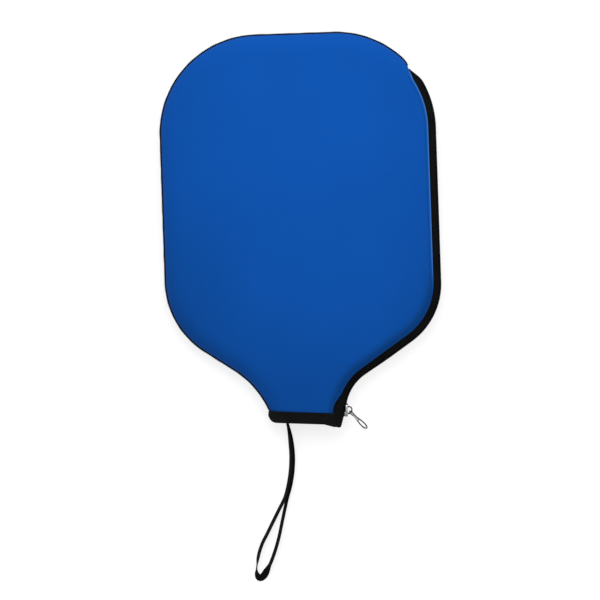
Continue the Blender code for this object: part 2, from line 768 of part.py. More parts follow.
clear_scene()
COVER = new_collection("paddle_case")
CUTTERS = new_collection("cutters")
NEOPRENE = new_material("blue_neoprene", BLUE, 0.85)
TAPE = new_material("black_zip_tape", BLACK, 0.9)
COIL = new_material("black_nylon_coil", BLACK, 0.45)
BINDING = new_material("black_binding", BLACK, 0.85)
THREAD = new_material("black_thread", THREAD_BLACK, 0.8)
THREAD_BLUE = new_material("blue_thread", BLUE, 0.8)
STRAP = new_material("black_ribbon", BLACK, 0.8)
METAL_BRIGHT = new_material("plated_zinc", METAL, 0.3, 1.0)
METAL_DARK = new_material("stop_metal", METAL, 0.45, 1.0)

fold_start, _ = fold_plane(0)
FLAP_PIVOT = add_empty(
    "front_flap_pivot", Matrix.Translation((fold_start.x, fold_start.y, FOLD_AXIS_Z))
)
slope = math.atan2(SHOULDER_Y - NECK_RIGHT[1], HALF_WIDTH - NECK_RIGHT[0])
arc_drop = NECK_RIGHT_RADIUS * math.tan((math.pi / 2 - slope) / 2)
ARC_CENTRE = Vector((NECK_RIGHT[0] + NECK_RIGHT_RADIUS, NECK_RIGHT[1] - arc_drop, MID))
SLIDER_PIVOT = add_empty("slider_pivot", Matrix.Translation(ARC_CENTRE))
ON_CHAIN = Matrix.Translation((-NECK_RIGHT_RADIUS, 0, 0)) @ Matrix.Rotation(math.pi / 2, 4, "Z")
SLIDER_FRAME = (
    Matrix.Translation(ARC_CENTRE) @ Matrix.Rotation(SLIDER_REST_TURN, 4, "Z") @ ON_CHAIN
    @ Matrix.Rotation(math.pi, 4, "X")
)
TAB_PIVOT = add_empty(
    "pull_tab_pivot",
    Matrix.Translation(SLIDER_FRAME @ Vector((0, BRIDGE_CENTRE_OUT, 0))),
    SLIDER_PIVOT,
)

SIDES = (("back", -1, None), ("front", 1, FLAP_PIVOT))

add_panels()
add_edge_seam()
add_tapes()
add_coils()
add_stops()
add_tape_stitches()
add_bindings()
add_slider()
add_pull_tab()
add_strap()
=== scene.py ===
# %% [markdown]
# # A zipped neoprene paddle cover
# The engineering model of the cover holds its sizes, its joints and its collision
# shapes. This lesson dresses it: blue knit over foam, a black lining, an overlocked
# seam, a woven zip tape with its nylon coil, a ribbed binding, a plated slider and a
# limp wrist strap. Each surface is a formula on a grid of two parameters, worked out
# as whole numpy arrays. The case lies on its back: +Y is the head, -Y the neck, +X
# the zip and +Z the front.

# %% Load the frame
import json
import math

import bmesh
import bpy
import numpy as np
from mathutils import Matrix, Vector


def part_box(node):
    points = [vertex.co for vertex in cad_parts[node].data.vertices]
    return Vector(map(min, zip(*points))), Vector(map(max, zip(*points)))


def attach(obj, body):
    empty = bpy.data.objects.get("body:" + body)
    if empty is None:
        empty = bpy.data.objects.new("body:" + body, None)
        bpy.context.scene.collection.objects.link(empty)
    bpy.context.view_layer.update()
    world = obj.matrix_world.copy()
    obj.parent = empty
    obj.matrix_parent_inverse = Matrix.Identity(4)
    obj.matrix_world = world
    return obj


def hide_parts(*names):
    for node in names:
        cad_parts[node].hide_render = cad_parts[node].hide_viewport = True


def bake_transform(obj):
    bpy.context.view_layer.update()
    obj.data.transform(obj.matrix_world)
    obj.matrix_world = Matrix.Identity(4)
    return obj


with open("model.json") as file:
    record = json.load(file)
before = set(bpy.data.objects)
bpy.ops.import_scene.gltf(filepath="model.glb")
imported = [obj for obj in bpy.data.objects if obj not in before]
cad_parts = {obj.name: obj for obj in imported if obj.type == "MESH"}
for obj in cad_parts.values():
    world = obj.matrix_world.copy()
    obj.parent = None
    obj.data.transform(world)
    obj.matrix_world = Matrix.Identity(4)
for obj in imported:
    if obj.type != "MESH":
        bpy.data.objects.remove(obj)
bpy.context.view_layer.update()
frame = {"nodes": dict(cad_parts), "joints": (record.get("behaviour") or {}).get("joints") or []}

MM = 0.001
PI = math.pi
TURN = 2 * PI

# %% [markdown]
# The joints' places come from the frame too. The front opens on a fold that runs
# from the mouth to the top of the zip, so every soft piece of the front would have
# to bend across that line instead of swinging like a door; here they are only
# placed, not bent.

# %% The fold and the slider's arc
joints = {joint["name"]: joint for joint in frame["joints"]}
fold_run = -np.array(joints["front_flap_open"]["axis"], float)
fold_run /= np.linalg.norm(fold_run)
arc_centre = np.array(joints["slider_travel"]["pos_m"])
tab_pivot = np.array(joints["pull_tab_swing"]["pos_m"])


def bend_with_flap(piece):
    """Bake the piece's placement into its mesh; it is not bent at the fold."""
    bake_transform(piece)


print("fold runs along", fold_run.round(3))

# %% [markdown]
# ## The camera and the light
# The cover is seen from straight above through a long lens, turned by two degrees,
# because it doesn't lie quite square. A long lens keeps the edges of a flat thing
# free of perspective. The studio is a white floor, a big soft light overhead and a
# pale world, so that shadows stay faint. MID is the height of the cover's outline,
# half way up the case; the view's width is measured there.

# %% Camera
VIEW_WIDTH = 459.7 * MM
VIEW_CENTRE = (-2.3 * MM, -52.8 * MM)
VIEW_TURN = math.radians(-1.95)
LENS = 200.0
SENSOR = 36.0
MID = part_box("front_panel")[1].z / 2

camera_data = bpy.data.cameras.new("camera")
camera_data.lens = LENS
camera_data.sensor_width = SENSOR
camera = bpy.data.objects.new("camera", camera_data)
bpy.context.scene.collection.objects.link(camera)
camera_rise = VIEW_WIDTH * LENS / SENSOR
camera.location = (*VIEW_CENTRE, MID + camera_rise)
camera.rotation_euler = (0, 0, VIEW_TURN)
camera_data.clip_end = 4 * camera_rise
bpy.context.scene.camera = camera
print("camera", round(camera_rise, 3), "m above the outline")


# %% Lights and world
def add_area(name, place, aim, size, power):
    """A square soft light at a place, turned to face the point aimed at."""
    data = bpy.data.lights.new(name, "AREA")
    data.shape = "SQUARE"
    data.size = size
    data.energy = power
    light = bpy.data.objects.new(name, data)
    bpy.context.scene.collection.objects.link(light)
    light.location = place
    light.rotation_euler = (Vector(aim) - Vector(place)).to_track_quat("-Z", "Y").to_euler()


add_area("key", (-0.1, 0.85, 1.3), (0.02, 0.06, 0), 1.0, 14.0)
add_area("fill", (0.8, 0.3, 1.3), (0, -0.05, 0), 1.2, 4.0)

world = bpy.data.worlds.new("studio")
world.use_nodes = True
world.node_tree.nodes["Background"].inputs["Color"].default_value = (1, 1, 1, 1)
world.node_tree.nodes["Background"].inputs["Strength"].default_value = 0.62
bpy.context.scene.world = world
bpy.context.scene.view_settings.view_transform = "Standard"

# %% [markdown]
# ## Finishes
# A finish is a node tree. To keep its maths readable, a small class stands for a
# number on its way through the nodes: its operators add Math nodes, so a weave can
# be written as a formula. Colours and vectors go through Mix and vector nodes.


# %% A number in a node tree
class Wire:
    """A node's output that carries one number; Python's operators add Math nodes."""

    def __init__(self, finish, socket):
        self.finish = finish
        self.socket = socket

    def math(self, operation, *values):
        """Add one Math node and return its value."""
        return self.finish.node("Math", {"operation": operation}, dict(enumerate(values)))

    def __add__(self, other):
        return self.math("ADD", self, other)

    def __sub__(self, other):
        return self.math("SUBTRACT", self, other)

    def __rsub__(self, other):
        return self.math("SUBTRACT", other, self)

    def __mul__(self, other):
        return self.math("MULTIPLY", self, other)

    def __truediv__(self, other):
        return self.math("DIVIDE", self, other)

    def __abs__(self):
        return self.math("ABSOLUTE", self)

    __radd__ = __add__
    __rmul__ = __mul__

    def wave(self, length, shift=0.0):
        """A sine from -1 to 1 with this wavelength; shift is a number or another wire."""
        return self.math("SINE", self * (TURN / length) + shift)

    def fract(self):
        """The part after the decimal point."""
        return self.math("FRACT", self)

    def clamp(self, low=0.0, high=1.0):
        """Kept between low and high."""
        return self.math("MINIMUM", self.math("MAXIMUM", self, low), high)

    def ramp(self, start, end):
        """0 at start, 1 at end and beyond."""
        return ((self - start) / (end - start)).clamp()


# %% A finish
class Finish:
    """A Principled material whose fixed numbers are set on its own sockets."""

    def __init__(self, name, **fixed):
        self.material = bpy.data.materials.new(name)
        self.material.use_nodes = True
        self.tree = self.material.node_tree
        self.shader = self.tree.nodes["Principled BSDF"]
        for socket, value in fixed.items():
            self.shader.inputs[socket.replace("_", " ")].default_value = value

    def node(self, kind, settings=None, inputs=None, output=0):
        """Add a node, set its settings first, then its sockets' values or links."""
        added = self.tree.nodes.new("ShaderNode" + kind)
        for name, value in (settings or {}).items():
            setattr(added, name, value)
        for name, value in (inputs or {}).items():
            self.plug(added.inputs[name], value)
        return Wire(self, added.outputs[output])

    def plug(self, socket, value):
        """Link a wire to a socket, or set the socket to a plain value."""
        if isinstance(value, Wire):
            self.tree.links.new(value.socket, socket)
        else:
            socket.default_value = value

    def split(self, vector):
        """The three numbers of a vector."""
        return [self.node("SeparateXYZ", None, {0: vector}, axis) for axis in range(3)]

    def place(self):
        """Object coordinates, in metres, because every piece sits at the origin."""
        return self.node("TexCoord", output="Object")

    def cloth(self):
        """The piece's own UV map: metres along it and across it."""
        return self.split(self.node("UVMap", {"uv_map": "cloth"}))[:2]

    def rim(self):
        """The mesh's own attribute that marks the rims of a piece, where a highlight or shade is
        painted.
        """
        return self.node("Attribute", {"attribute_name": "rim"}, output="Fac")

    def noise(self, size, detail=2.0, where=None):
        """Soft noise around 0.5 with blobs of about this size in metres."""
        inputs = {"Vector": where or self.place(), "Scale": 1 / size, "Detail": detail}
        return self.node("TexNoise", None, inputs, "Fac")

    def mix(self, share, first, second):
        """A colour between two, at this share of the way."""
        kind = {"data_type": "RGBA"}
        return self.node("Mix", kind, {"Factor": share, 6: first, 7: second}, 2)

    def finish(self, depth=None, height=None, **varying):
        """Feed what changes over the surface; height makes a bump of this depth."""
        for socket, value in varying.items():
            self.plug(self.shader.inputs[socket.replace("_", " ")], value)
        if height is not None:
            bump = self.node("Bump", None, {"Strength": 1.0, "Distance": depth, "Height": height})
            self.plug(self.shader.inputs["Normal"], bump)
        return self.material


# %% [markdown]
# The outside is a fine jersey, laminated to the foam. Its stitches are V shapes, in
# ribs under a millimetre wide, so they read as a matt skin with a faint sheen. The
# dye is very even: only slow, weak patches and a fine fuzz break it up. Shade is
# painted into the blue as well: darker towards the lower end and the sides, and a
# little darker in the knit's hollows. Beside the zip a paler blue is a painted
# highlight along the sheet's raw cut edge, and below the shoulder painted shade
# stands for the edge curling down out of the light. So the mesh carries an attribute
# called rim: above 0 it paints a highlight, and below 0 it paints shade.

# %% Blue jersey
BLUE = (0.0022, 0.078, 0.385, 1)
BLUE_DEEP = (0.0020, 0.064, 0.320, 1)
# The next blue is painted shade: towards the lower end and the sides, and where the cut edge curls down
# below the shoulder.
BLUE_PAINTED_SHADE = (0.0012, 0.040, 0.180, 1)
# The next blue is a painted highlight along the raw cut edge beside the zip.
BLUE_PAINTED_HIGHLIGHT = (0.045, 0.16, 0.45, 1)
KNIT_RIB = 0.9 * MM
KNIT_ROW = 0.7 * MM
CURL_SHADE = 0.95


def knit_height(finish, x, y):
    """Ribs of slanted loops: a sine across, and rows shifted by the rib's own slope."""
    rib = abs(x.wave(2 * KNIT_RIB))
    loop = abs(y.wave(2 * KNIT_ROW, rib * 1.2))
    return rib * 0.6 + loop * 0.4


def blue_jersey():
    """Slow patches and fuzz mix two blues; a darker blue is painted as shade towards the lower end and
    the sides, and rim values paint the cut edge's highlight and the curling edge's shade.
    """
    made = Finish("blue_jersey", Roughness=0.82, Specular_IOR_Level=0.06)
    x, y, _ = made.split(made.place())
    knit = knit_height(made, x, y)
    patches = made.noise(90 * MM, 3.0)
    fuzz = made.noise(1.6 * MM, 3.0)
    # The knit's height makes its hollows a little darker, as painted shade; the patches and the fuzz
    # are the dye's own uneven tone.
    share = ((patches - 0.5) * 1.1 + (fuzz - 0.5) * 0.5 + 0.55 + (knit - 0.5) * 0.12).clamp()
    dye_and_painted_shade = made.mix(share, BLUE_DEEP, BLUE)
    lower = y.ramp(60 * MM, -170 * MM)
    sides = abs(x - 12 * MM).ramp(45 * MM, 125 * MM)
    rim = made.rim()
    below_zero = (rim * -1000).clamp()
    # Painted shade where the cut edge curls down below the shoulder, where the rim values are below 0.
    curl_painted_shade = rim * CURL_SHADE * below_zero
    # Painted shade: darker towards the lower end and the sides, and where the edge curls down.
    painted_shade = (lower * lower * 0.75 + sides * (0.25 + lower * 0.5) - curl_painted_shade).clamp()
    dye_and_painted_shade = made.mix(painted_shade, dye_and_painted_shade, BLUE_PAINTED_SHADE)
    # A painted highlight along the raw cut edge beside the zip, where the rim values are above 0.
    colour = made.mix((rim * (0.75 + fuzz * 0.5)).clamp(), dye_and_painted_shade, BLUE_PAINTED_HIGHLIGHT)
    height = knit * 0.6 + fuzz * 0.4 + patches * 2.0
    rough = 0.78 + fuzz * 0.12
    return made.finish(0.10 * MM, height, Base_Color=colour, Roughness=rough)


JERSEY = blue_jersey()

# %% [markdown]
# The lining is the same knit in black. Its loops are a little coarser and its pile
# is brushed, so it is duller than the outside.


# %% Black lining
def black_lining():
    """Two blacks, mixed by the pile's noise and the height of the knit."""
    made = Finish("black_lining", Roughness=0.95, Specular_IOR_Level=0.08)
    x, y, _ = made.split(made.place())
    knit = knit_height(made, x, y)
    pile = made.noise(0.8 * MM, 4.0)
    # The pile's noise is the lining's own uneven tone; the knit's height paints its hollows darker as
    # shade.
    share = (pile * 0.7 + knit * 0.3).clamp()
    colour = made.mix(share, (0.006, 0.006, 0.007, 1), (0.022, 0.022, 0.024, 1))
    return made.finish(0.12 * MM, knit * 0.5 + pile, Base_Color=colour)


LINING = black_lining()

# %% [markdown]
# Zip tape is a narrow twill: its floats climb diagonally, and change direction every
# few millimetres, which gives the herringbone. The binding is grosgrain, with ribs
# that run across it. The strap is a plain ribbon with a firm selvedge. All three
# follow the cloth's own map, so that the weave bends with the piece.

# %% Woven tapes
BLACK_LOW = (0.0009, 0.0010, 0.0011, 1)
BLACK_HIGH = (0.0075, 0.0082, 0.0084, 1)
BINDING_HIGH = (0.0088, 0.0090, 0.0092, 1)
RIBBON_LOW = (0.0008, 0.0008, 0.0008, 1)
RIBBON_HIGH = (0.0060, 0.0059, 0.0058, 1)
TWILL = 0.75 * MM
HERRINGBONE = 3.2 * MM
BINDING_RIB = 0.85 * MM
RIBBON_RIB = 0.55 * MM


def zip_twill():
    """Stripes along the tape, shifted by a triangle wave across it: a herringbone."""
    made = Finish("zip_twill", Roughness=0.8, Specular_IOR_Level=0.06)
    along, across = made.cloth()
    side = abs((across / HERRINGBONE).fract() - 0.5)
    floats = abs(along.wave(2 * TWILL, side * (TURN * HERRINGBONE / (2 * TWILL))))
    yarn = abs(across.wave(0.55 * MM))
    fuzz = made.noise(0.7 * MM, 3.0)
    lint = made.noise(14 * MM, 4.0)
    weave = floats * 0.7 + yarn * 0.3
    # The lint and the fuzz are the tape's own uneven tone; the weave's height paints its hollows darker
    # as shade.
    share = (weave * 0.5 + fuzz * 0.3 + (lint - 0.5) * 0.9).clamp()
    return made.finish(0.16 * MM, weave + fuzz * 0.3, Base_Color=made.mix(share, BLACK_LOW, BLACK_HIGH),
                       Roughness=0.72 + fuzz * 0.2)


def grosgrain(name, rib, low, high, depth):
    """Ribs across the tape, each one crossed by fine warp yarns that hide it in turn."""
    made = Finish(name, Roughness=0.8, Specular_IOR_Level=0.06)
    along, across = made.cloth()
    ribs = abs(along.wave(2 * rib))
    yarns = abs(across.wave(0.6 * MM, ribs * 0.8))
    fuzz = made.noise(0.9 * MM, 3.0)
    lint = made.noise(11 * MM, 4.0)
    height = ribs * 0.75 + yarns * 0.25
    # The lint and the fuzz are the tape's own uneven tone; the ribs' height paints the hollows between
    # them darker as shade.
    share = (height * 0.45 + fuzz * 0.3 + (lint - 0.45) * 0.8).clamp()
    return made.finish(depth, height + fuzz * 0.25, Base_Color=made.mix(share, low, high),
                       Roughness=0.7 + fuzz * 0.22)


TWILL_TAPE = zip_twill()
GROSGRAIN = grosgrain("ribbed_binding", BINDING_RIB, BLACK_LOW, BINDING_HIGH, 0.2 * MM)
RIBBON = grosgrain("strap_ribbon", RIBBON_RIB, RIBBON_LOW, RIBBON_HIGH, 0.12 * MM)

# %% [markdown]
# Sewing thread is two or three plies twisted together, so its bump is a slanted
# stripe round the thread. The coil is drawn nylon, smooth and a little glossy.


# %% Thread and nylon
def twisted_thread(name, low, high):
    """Stripes along the thread, shifted by the turn round it, so that they slant."""
    made = Finish(name, Roughness=0.6, Specular_IOR_Level=0.08)
    along, round_it = made.cloth()
    ply = abs(along.wave(0.9 * MM, round_it * TURN))
    fuzz = made.noise(0.5 * MM, 2.0)
    # The fuzz is the thread's own uneven tone; the plies paint the grooves between them darker as
    # shade.
    share = (ply * 0.7 + (fuzz - 0.5) * 0.6).clamp()
    return made.finish(0.08 * MM, ply + fuzz * 0.2, Base_Color=made.mix(share, low, high),
                       Roughness=0.5 + fuzz * 0.25)


def drawn_nylon():
    """Soft streaks of two blacks, with a little variation in gloss."""
    made = Finish("drawn_nylon", Roughness=0.4, Specular_IOR_Level=0.08)
    streak = made.noise(2.5 * MM, 3.0)
    share = (streak * 1.4 - 0.2).clamp()
    colour = made.mix(share, (0.0006, 0.0006, 0.0007, 1), (0.003, 0.003, 0.0033, 1))
    return made.finish(0.02 * MM, streak, Base_Color=colour, Roughness=0.3 + streak * 0.2)


BLACK_PLY = ((0.001, 0.001, 0.0011, 1), (0.007, 0.007, 0.0075, 1))
BLUE_PLY = ((0.0015, 0.035, 0.18, 1), (0.003, 0.075, 0.33, 1))
BLACK_THREAD = twisted_thread("black_thread_twisted", *BLACK_PLY)
BLUE_THREAD = twisted_thread("blue_thread_twisted", *BLUE_PLY)
NYLON = drawn_nylon()

# %% [markdown]
# The slider and its tab are cast zinc under a dark, bright plating. Tumbling rounds
# the castings and leaves fine scratches; handling wears the plating paler on the
# high spots. Shade is painted dark round the rims of the slider's plate and the
# tab. The stops are crimped from dull strip.


# %% Metals
def plated_metal(name, dark, pale, rough, scratch, edge=None):
    """Cloudy metal with long fine scratches; the last argument, if given, is a dark colour painted on
    its rims as shade.
    """
    made = Finish(name, Metallic=1.0, Roughness=rough)
    place = made.place()
    stretched = made.node("Mapping", {"vector_type": "POINT"}, {"Vector": place, "Scale": (1, 6, 1)})
    scratches = made.noise(0.5 * MM, 4.0, stretched)
    cloud = made.noise(3.0 * MM, 3.0)
    share = (cloud * 1.5 - 0.3 + (scratches - 0.5) * 0.4).clamp()
    colour = made.mix(share, dark, pale)
    if edge:
        # Painted shade: the rims, marked by the rim attribute, are darkened.
        colour = made.mix(made.rim().clamp(), colour, edge)
    return made.finish(scratch, scratches + cloud * 0.5, Base_Color=colour,
                       Roughness=rough - 0.08 + cloud * 0.2 + (scratches - 0.5) * 0.1)


# A dark colour painted round the rims of the slider and the tab as shade.
RIM_PAINTED_SHADE = (0.004, 0.004, 0.0045, 1)
SCRATCH = 0.012 * MM
GUNMETAL = plated_metal("gunmetal_plating", (0.016, 0.017, 0.019, 1), (0.06, 0.062, 0.066, 1),
                        0.3, SCRATCH)
PALE_PLATE = plated_metal("worn_plating_shaded_rims", (0.14, 0.145, 0.15, 1), (0.7, 0.71, 0.72, 1),
                          0.3, SCRATCH, RIM_PAINTED_SHADE)
STRIP_METAL = plated_metal("crimped_strip", (0.025, 0.025, 0.028, 1), (0.08, 0.08, 0.085, 1),
                           0.45, 0.02 * MM)
print(len(bpy.data.materials), "materials so far")

# %% [markdown]
# ## Meshes from formulas
# A piece is one or more grids of points. Each grid may be closed across its rows,
# like a tube, and may have its ends capped. Nothing here loops over vertices: faces
# are index arithmetic on whole arrays, and points and maps go in with foreach_set.


# %% Grid to mesh
def grid_faces(rows, columns, wrap):
    """Corner numbers (grid row, grid column) of every quad in a grid."""
    across = columns if wrap else columns - 1
    row, column = np.meshgrid(np.arange(rows - 1), np.arange(across), indexing="ij")
    corners = [(row, column), (row + 1, column), (row + 1, column + 1), (row, column + 1)]
    return np.stack([np.stack(pair, axis=-1) for pair in corners], axis=2).reshape(-1, 4, 2)


def grid_part(points, wrap=False, caps=False, along=None, across=None, rim=None):
    """One grid as vertices, faces and map values.

    points is rows x columns x 3. along and across give the cloth map in metres, one
    value for each row and column, and default to distances measured on the grid.
    """
    rows, columns = points.shape[:2]
    if along is None:
        middle = points[:, columns // 2]
        along = np.concatenate([[0], np.cumsum(np.linalg.norm(np.diff(middle, axis=0), axis=1))])
    if across is None:
        closed = np.concatenate([points, points[:, :1]], axis=1)[rows // 2]
        across = np.concatenate([[0], np.cumsum(np.linalg.norm(np.diff(closed, axis=0), axis=1))])
    corners = grid_faces(rows, columns, wrap)
    faces = corners[..., 0] * columns + corners[..., 1] % columns
    maps = np.stack([along[corners[..., 0]], across[corners[..., 1]]], axis=-1)
    vertices = points.reshape(-1, 3)
    triangles = np.zeros((0, 3), int)
    triangle_maps = np.zeros((0, 3, 2))
    if caps:
        ring = np.arange(columns)
        after = (ring + 1) % columns
        last = (rows - 1) * columns
        hubs = len(vertices) + np.arange(2)
        vertices = np.concatenate([vertices, points[0].mean(0)[None], points[-1].mean(0)[None]])
        near = np.stack([after, ring, np.full(columns, hubs[0])], axis=1)
        far = np.stack([ring + last, after + last, np.full(columns, hubs[1])], axis=1)
        triangles = np.concatenate([near, far])
        ends = np.repeat([along[0], along[-1]], columns)
        triangle_maps = np.stack([np.broadcast_to(ends[:, None], (2 * columns, 3)),
                                  np.tile(np.stack([across[ring]] * 3, axis=1), (2, 1))], axis=-1)
    rims = np.zeros(len(vertices)) if rim is None else rim.reshape(-1)
    return {"vertices": vertices, "quads": faces, "triangles": triangles, "rim": rims,
            "maps": np.concatenate([maps.reshape(-1, 2), triangle_maps.reshape(-1, 2)])}


# %% Grids to a piece
def make_piece(name, parts, finish, weld=False, smooth_angle=50):
    """A mesh object at the origin from one or more grid parts, faces turned outwards."""
    starts = np.concatenate([[0], np.cumsum([len(part["vertices"]) for part in parts])])
    vertices = np.concatenate([part["vertices"] for part in parts])
    loops, sizes, maps = [], [], []
    for start, part in zip(starts, parts):
        loops += [(part["quads"] + start).reshape(-1), (part["triangles"] + start).reshape(-1)]
        sizes += [np.full(len(part["quads"]), 4), np.full(len(part["triangles"]), 3)]
        maps.append(part["maps"])
    loops, sizes, maps = np.concatenate(loops), np.concatenate(sizes), np.concatenate(maps)
    mesh = bpy.data.meshes.new(name)
    mesh.vertices.add(len(vertices))
    mesh.vertices.foreach_set("co", vertices.astype(np.float32).ravel())
    mesh.loops.add(len(loops))
    mesh.loops.foreach_set("vertex_index", loops.astype(np.int32))
    mesh.polygons.add(len(sizes))
    mesh.polygons.foreach_set("loop_start", (np.cumsum(sizes) - sizes).astype(np.int32))
    mesh.update(calc_edges=True)
    mesh.uv_layers.new(name="cloth").data.foreach_set("uv", maps.astype(np.float32).ravel())
    rim = mesh.attributes.new("rim", "FLOAT", "POINT")
    rim.data.foreach_set("value", np.concatenate([part["rim"] for part in parts]).astype(np.float32))
    work = bmesh.new()
    work.from_mesh(mesh)
    if weld:
        bmesh.ops.remove_doubles(work, verts=work.verts[:], dist=0.002 * MM)
    bmesh.ops.recalc_face_normals(work, faces=work.faces[:])
    open_edges = sum(len(edge.link_faces) != 2 for edge in work.edges)
    work.to_mesh(mesh)
    work.free()
    mesh.shade_smooth()
    mesh.set_sharp_from_angle(angle=math.radians(smooth_angle))
    mesh.materials.append(finish)
    piece = bpy.data.objects.new(name, mesh)
    bpy.context.scene.collection.objects.link(piece)
    print(f"{name}: {len(mesh.polygons)} faces, {open_edges} open edges")
    return piece


# %% [markdown]
# A profile carried along a path makes every thread, wire and ribbon. The frame along
# the path is worked out at once: the tangent, a side vector from a fixed hint, and
# their cross product.


# %% Profiles on paths
UP = (0, 0, 1)


def smooth(t):
    """0 below 0, 1 above 1, and a soft S between: 3t^2 - 2t^3."""
    t = np.clip(t, 0.0, 1.0)
    return t * t * (3 - 2 * t)


def unit(vectors):
    """Vectors divided by their own length."""
    return vectors / np.linalg.norm(vectors, axis=-1, keepdims=True)


def carried(path, profile, hint):
    """profile is points (side, up), one set or one for each path point; hint is about up."""
    tangent = unit(np.gradient(path, axis=0))
    side = unit(np.cross(tangent, hint))
    up = np.cross(side, tangent)
    profile = np.broadcast_to(profile, (len(path),) + np.shape(profile)[-2:])
    return path[:, None] + profile[..., :1] * side[:, None] + profile[..., 1:] * up[:, None]


def circle(radius, sides):
    """Points of a regular polygon on a circle: radius times (cos, sin)."""
    turn = np.linspace(0, TURN, sides, endpoint=False)
    return radius * np.stack([np.cos(turn), np.sin(turn)], axis=-1)


def thread_part(path, radius, sides=6):
    """A round thread: a circle carried along a path, its map a share of a turn across."""
    share = np.linspace(0, 1, sides + 1)
    return grid_part(carried(path, circle(radius, sides), UP), wrap=True, caps=True, across=share)


def evenly(path, step):
    """The same line with a point about every step along it."""
    length = np.concatenate([[0], np.cumsum(np.linalg.norm(np.diff(path, axis=0), axis=1))])
    places = np.linspace(0, length[-1], max(2, round(length[-1] / step)) + 1)
    return np.stack([np.interp(places, length, path[:, k]) for k in range(path.shape[1])], axis=1)


# %% [markdown]
# ## The outline
# The edge of the cover is straight runs joined by arcs: two shoulders under the
# head, two big corners over it, and two hollow corners down to the neck. Its width,
# its top and the mouth are read from the frame's seam and panels.

# %% Driving sizes
seam_low, seam_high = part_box("edge_seam_thread")
HALF_WIDTH = -seam_low.x
HEAD_TOP = seam_high.y
MOUTH_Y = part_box("back_panel")[0].y
SHOULDER_Y = -70.8 * MM
NECK_LEFT = (-24.2 * MM, -126.3 * MM)
NECK_RIGHT = (30.2 * MM, -122.3 * MM)
FOOT_Y = MOUTH_Y - 17 * MM
CORNERS = [
    (NECK_LEFT[0], FOOT_Y, 0), (*NECK_LEFT, 70 * MM),
    (-HALF_WIDTH, SHOULDER_Y, 66 * MM), (-HALF_WIDTH, HEAD_TOP, 76 * MM),
    (HALF_WIDTH, HEAD_TOP, 76 * MM), (HALF_WIDTH, SHOULDER_Y, 54 * MM),
    (*NECK_RIGHT, 34 * MM), (NECK_RIGHT[0], FOOT_Y, 0),
]


# %% Arcs at the corners
def left_of(vectors):
    """Vectors turned a quarter turn to the left."""
    return np.stack([-vectors[..., 1], vectors[..., 0]], axis=-1)


def rounded_outline(corners):
    """Each arc's centre is back along the run by r tan(turn / 2), then r to its side;
    its points are the centre minus r times the left normal of the turning heading."""
    places = np.array([corner[:2] for corner in corners])
    run = unit(np.diff(places, axis=0))
    points, headings = [places[:1]], [run[:1]]
    for k in range(1, len(corners) - 1):
        before, after = run[k - 1], run[k]
        turn = math.atan2(left_of(before) @ after, before @ after)
        radius = math.copysign(corners[k][2], turn)
        centre = places[k] - before * abs(radius) * math.tan(abs(turn) / 2) + radius * left_of(before)
        angle = np.linspace(0, turn, 2 + int(abs(turn) / math.radians(1.5)))[:, None]
        heading = before * np.cos(angle) + left_of(before) * np.sin(angle)
        points.append(centre - radius * left_of(heading))
        headings.append(heading)
    points.append(places[-1:])
    headings.append(run[-1:])
    return np.concatenate(points), -left_of(np.concatenate(headings))


PATH, INWARD = rounded_outline(CORNERS)
REACH = np.concatenate([[0], np.cumsum(np.linalg.norm(np.diff(PATH, axis=0), axis=1))])


def outline_at(reach):
    """Points and inward unit normals at distances along the outline."""
    place = np.stack([np.interp(reach, REACH, PATH[:, k]) for k in (0, 1)], axis=-1)
    inward = np.stack([np.interp(reach, REACH, INWARD[:, k]) for k in (0, 1)], axis=-1)
    return place, unit(inward)


def reach_nearest(x, y):
    """Distance along the outline to its place nearest to a point."""
    fine = np.linspace(0, REACH[-1], 8000)
    return fine[np.linalg.norm(outline_at(fine)[0] - (x, y), axis=1).argmin()]


ZIP_REACH = reach_nearest(85.6 * MM, 120.5 * MM)
RIGHT_MOUTH = reach_nearest(NECK_RIGHT[0], MOUTH_Y)
print("outline", round(REACH[-1] * 1000), "mm, zip", round((RIGHT_MOUTH - ZIP_REACH) * 1000), "mm")

# %% [markdown]
# The section across the edge is a quarter ellipse: 13 mm in from the seam it has
# risen from mid height to the flat face. The panels' cut edges lie close to the
# thread seam, and further in beside the zip, where the tape shows.

# %% The edge section
SEAM_INSET = 1.4 * MM
EDGE_ROUND = 13 * MM
EDGE_GAP = 0.15 * MM
NECK_HALF = 9 * MM
NECK_SQUEEZE = (-96 * MM, -132 * MM)
ZIP_SETBACK = 6.0 * MM
NECK_SETBACK = 10.2 * MM
ZIP_DIP = 2.3 * MM
ZIP_DIP_LENGTH = 16 * MM
RIM_WIDTH = 5.3 * MM


def neck_scale(y):
    """Half the cover's thickness at y as a share of the head's."""
    start, end = NECK_SQUEEZE
    return 1 - (1 - NECK_HALF / MID) * smooth((start - y) / (start - end))


def panel_setback(reach):
    """How far in from the outline the panels' cut edges lie."""
    place, _ = outline_at(reach)
    zip_side = smooth((reach - ZIP_REACH + 10 * MM) / (22 * MM))
    neck = smooth((-126 * MM - place[..., 1]) / (12 * MM)) * (reach > ZIP_REACH)
    return SEAM_INSET + (ZIP_SETBACK - SEAM_INSET) * zip_side + (NECK_SETBACK - ZIP_SETBACK) * neck


def chain_dip(reach):
    """How far the chain's upper end ducks in under the panels."""
    return ZIP_DIP * (1 - smooth((reach - ZIP_REACH) / ZIP_DIP_LENGTH))


def angle_at(setback):
    """Angle round the edge's ellipse at which it is this far in."""
    return np.arccos(np.clip(1 - (setback - SEAM_INSET) / EDGE_ROUND, -1, 1))


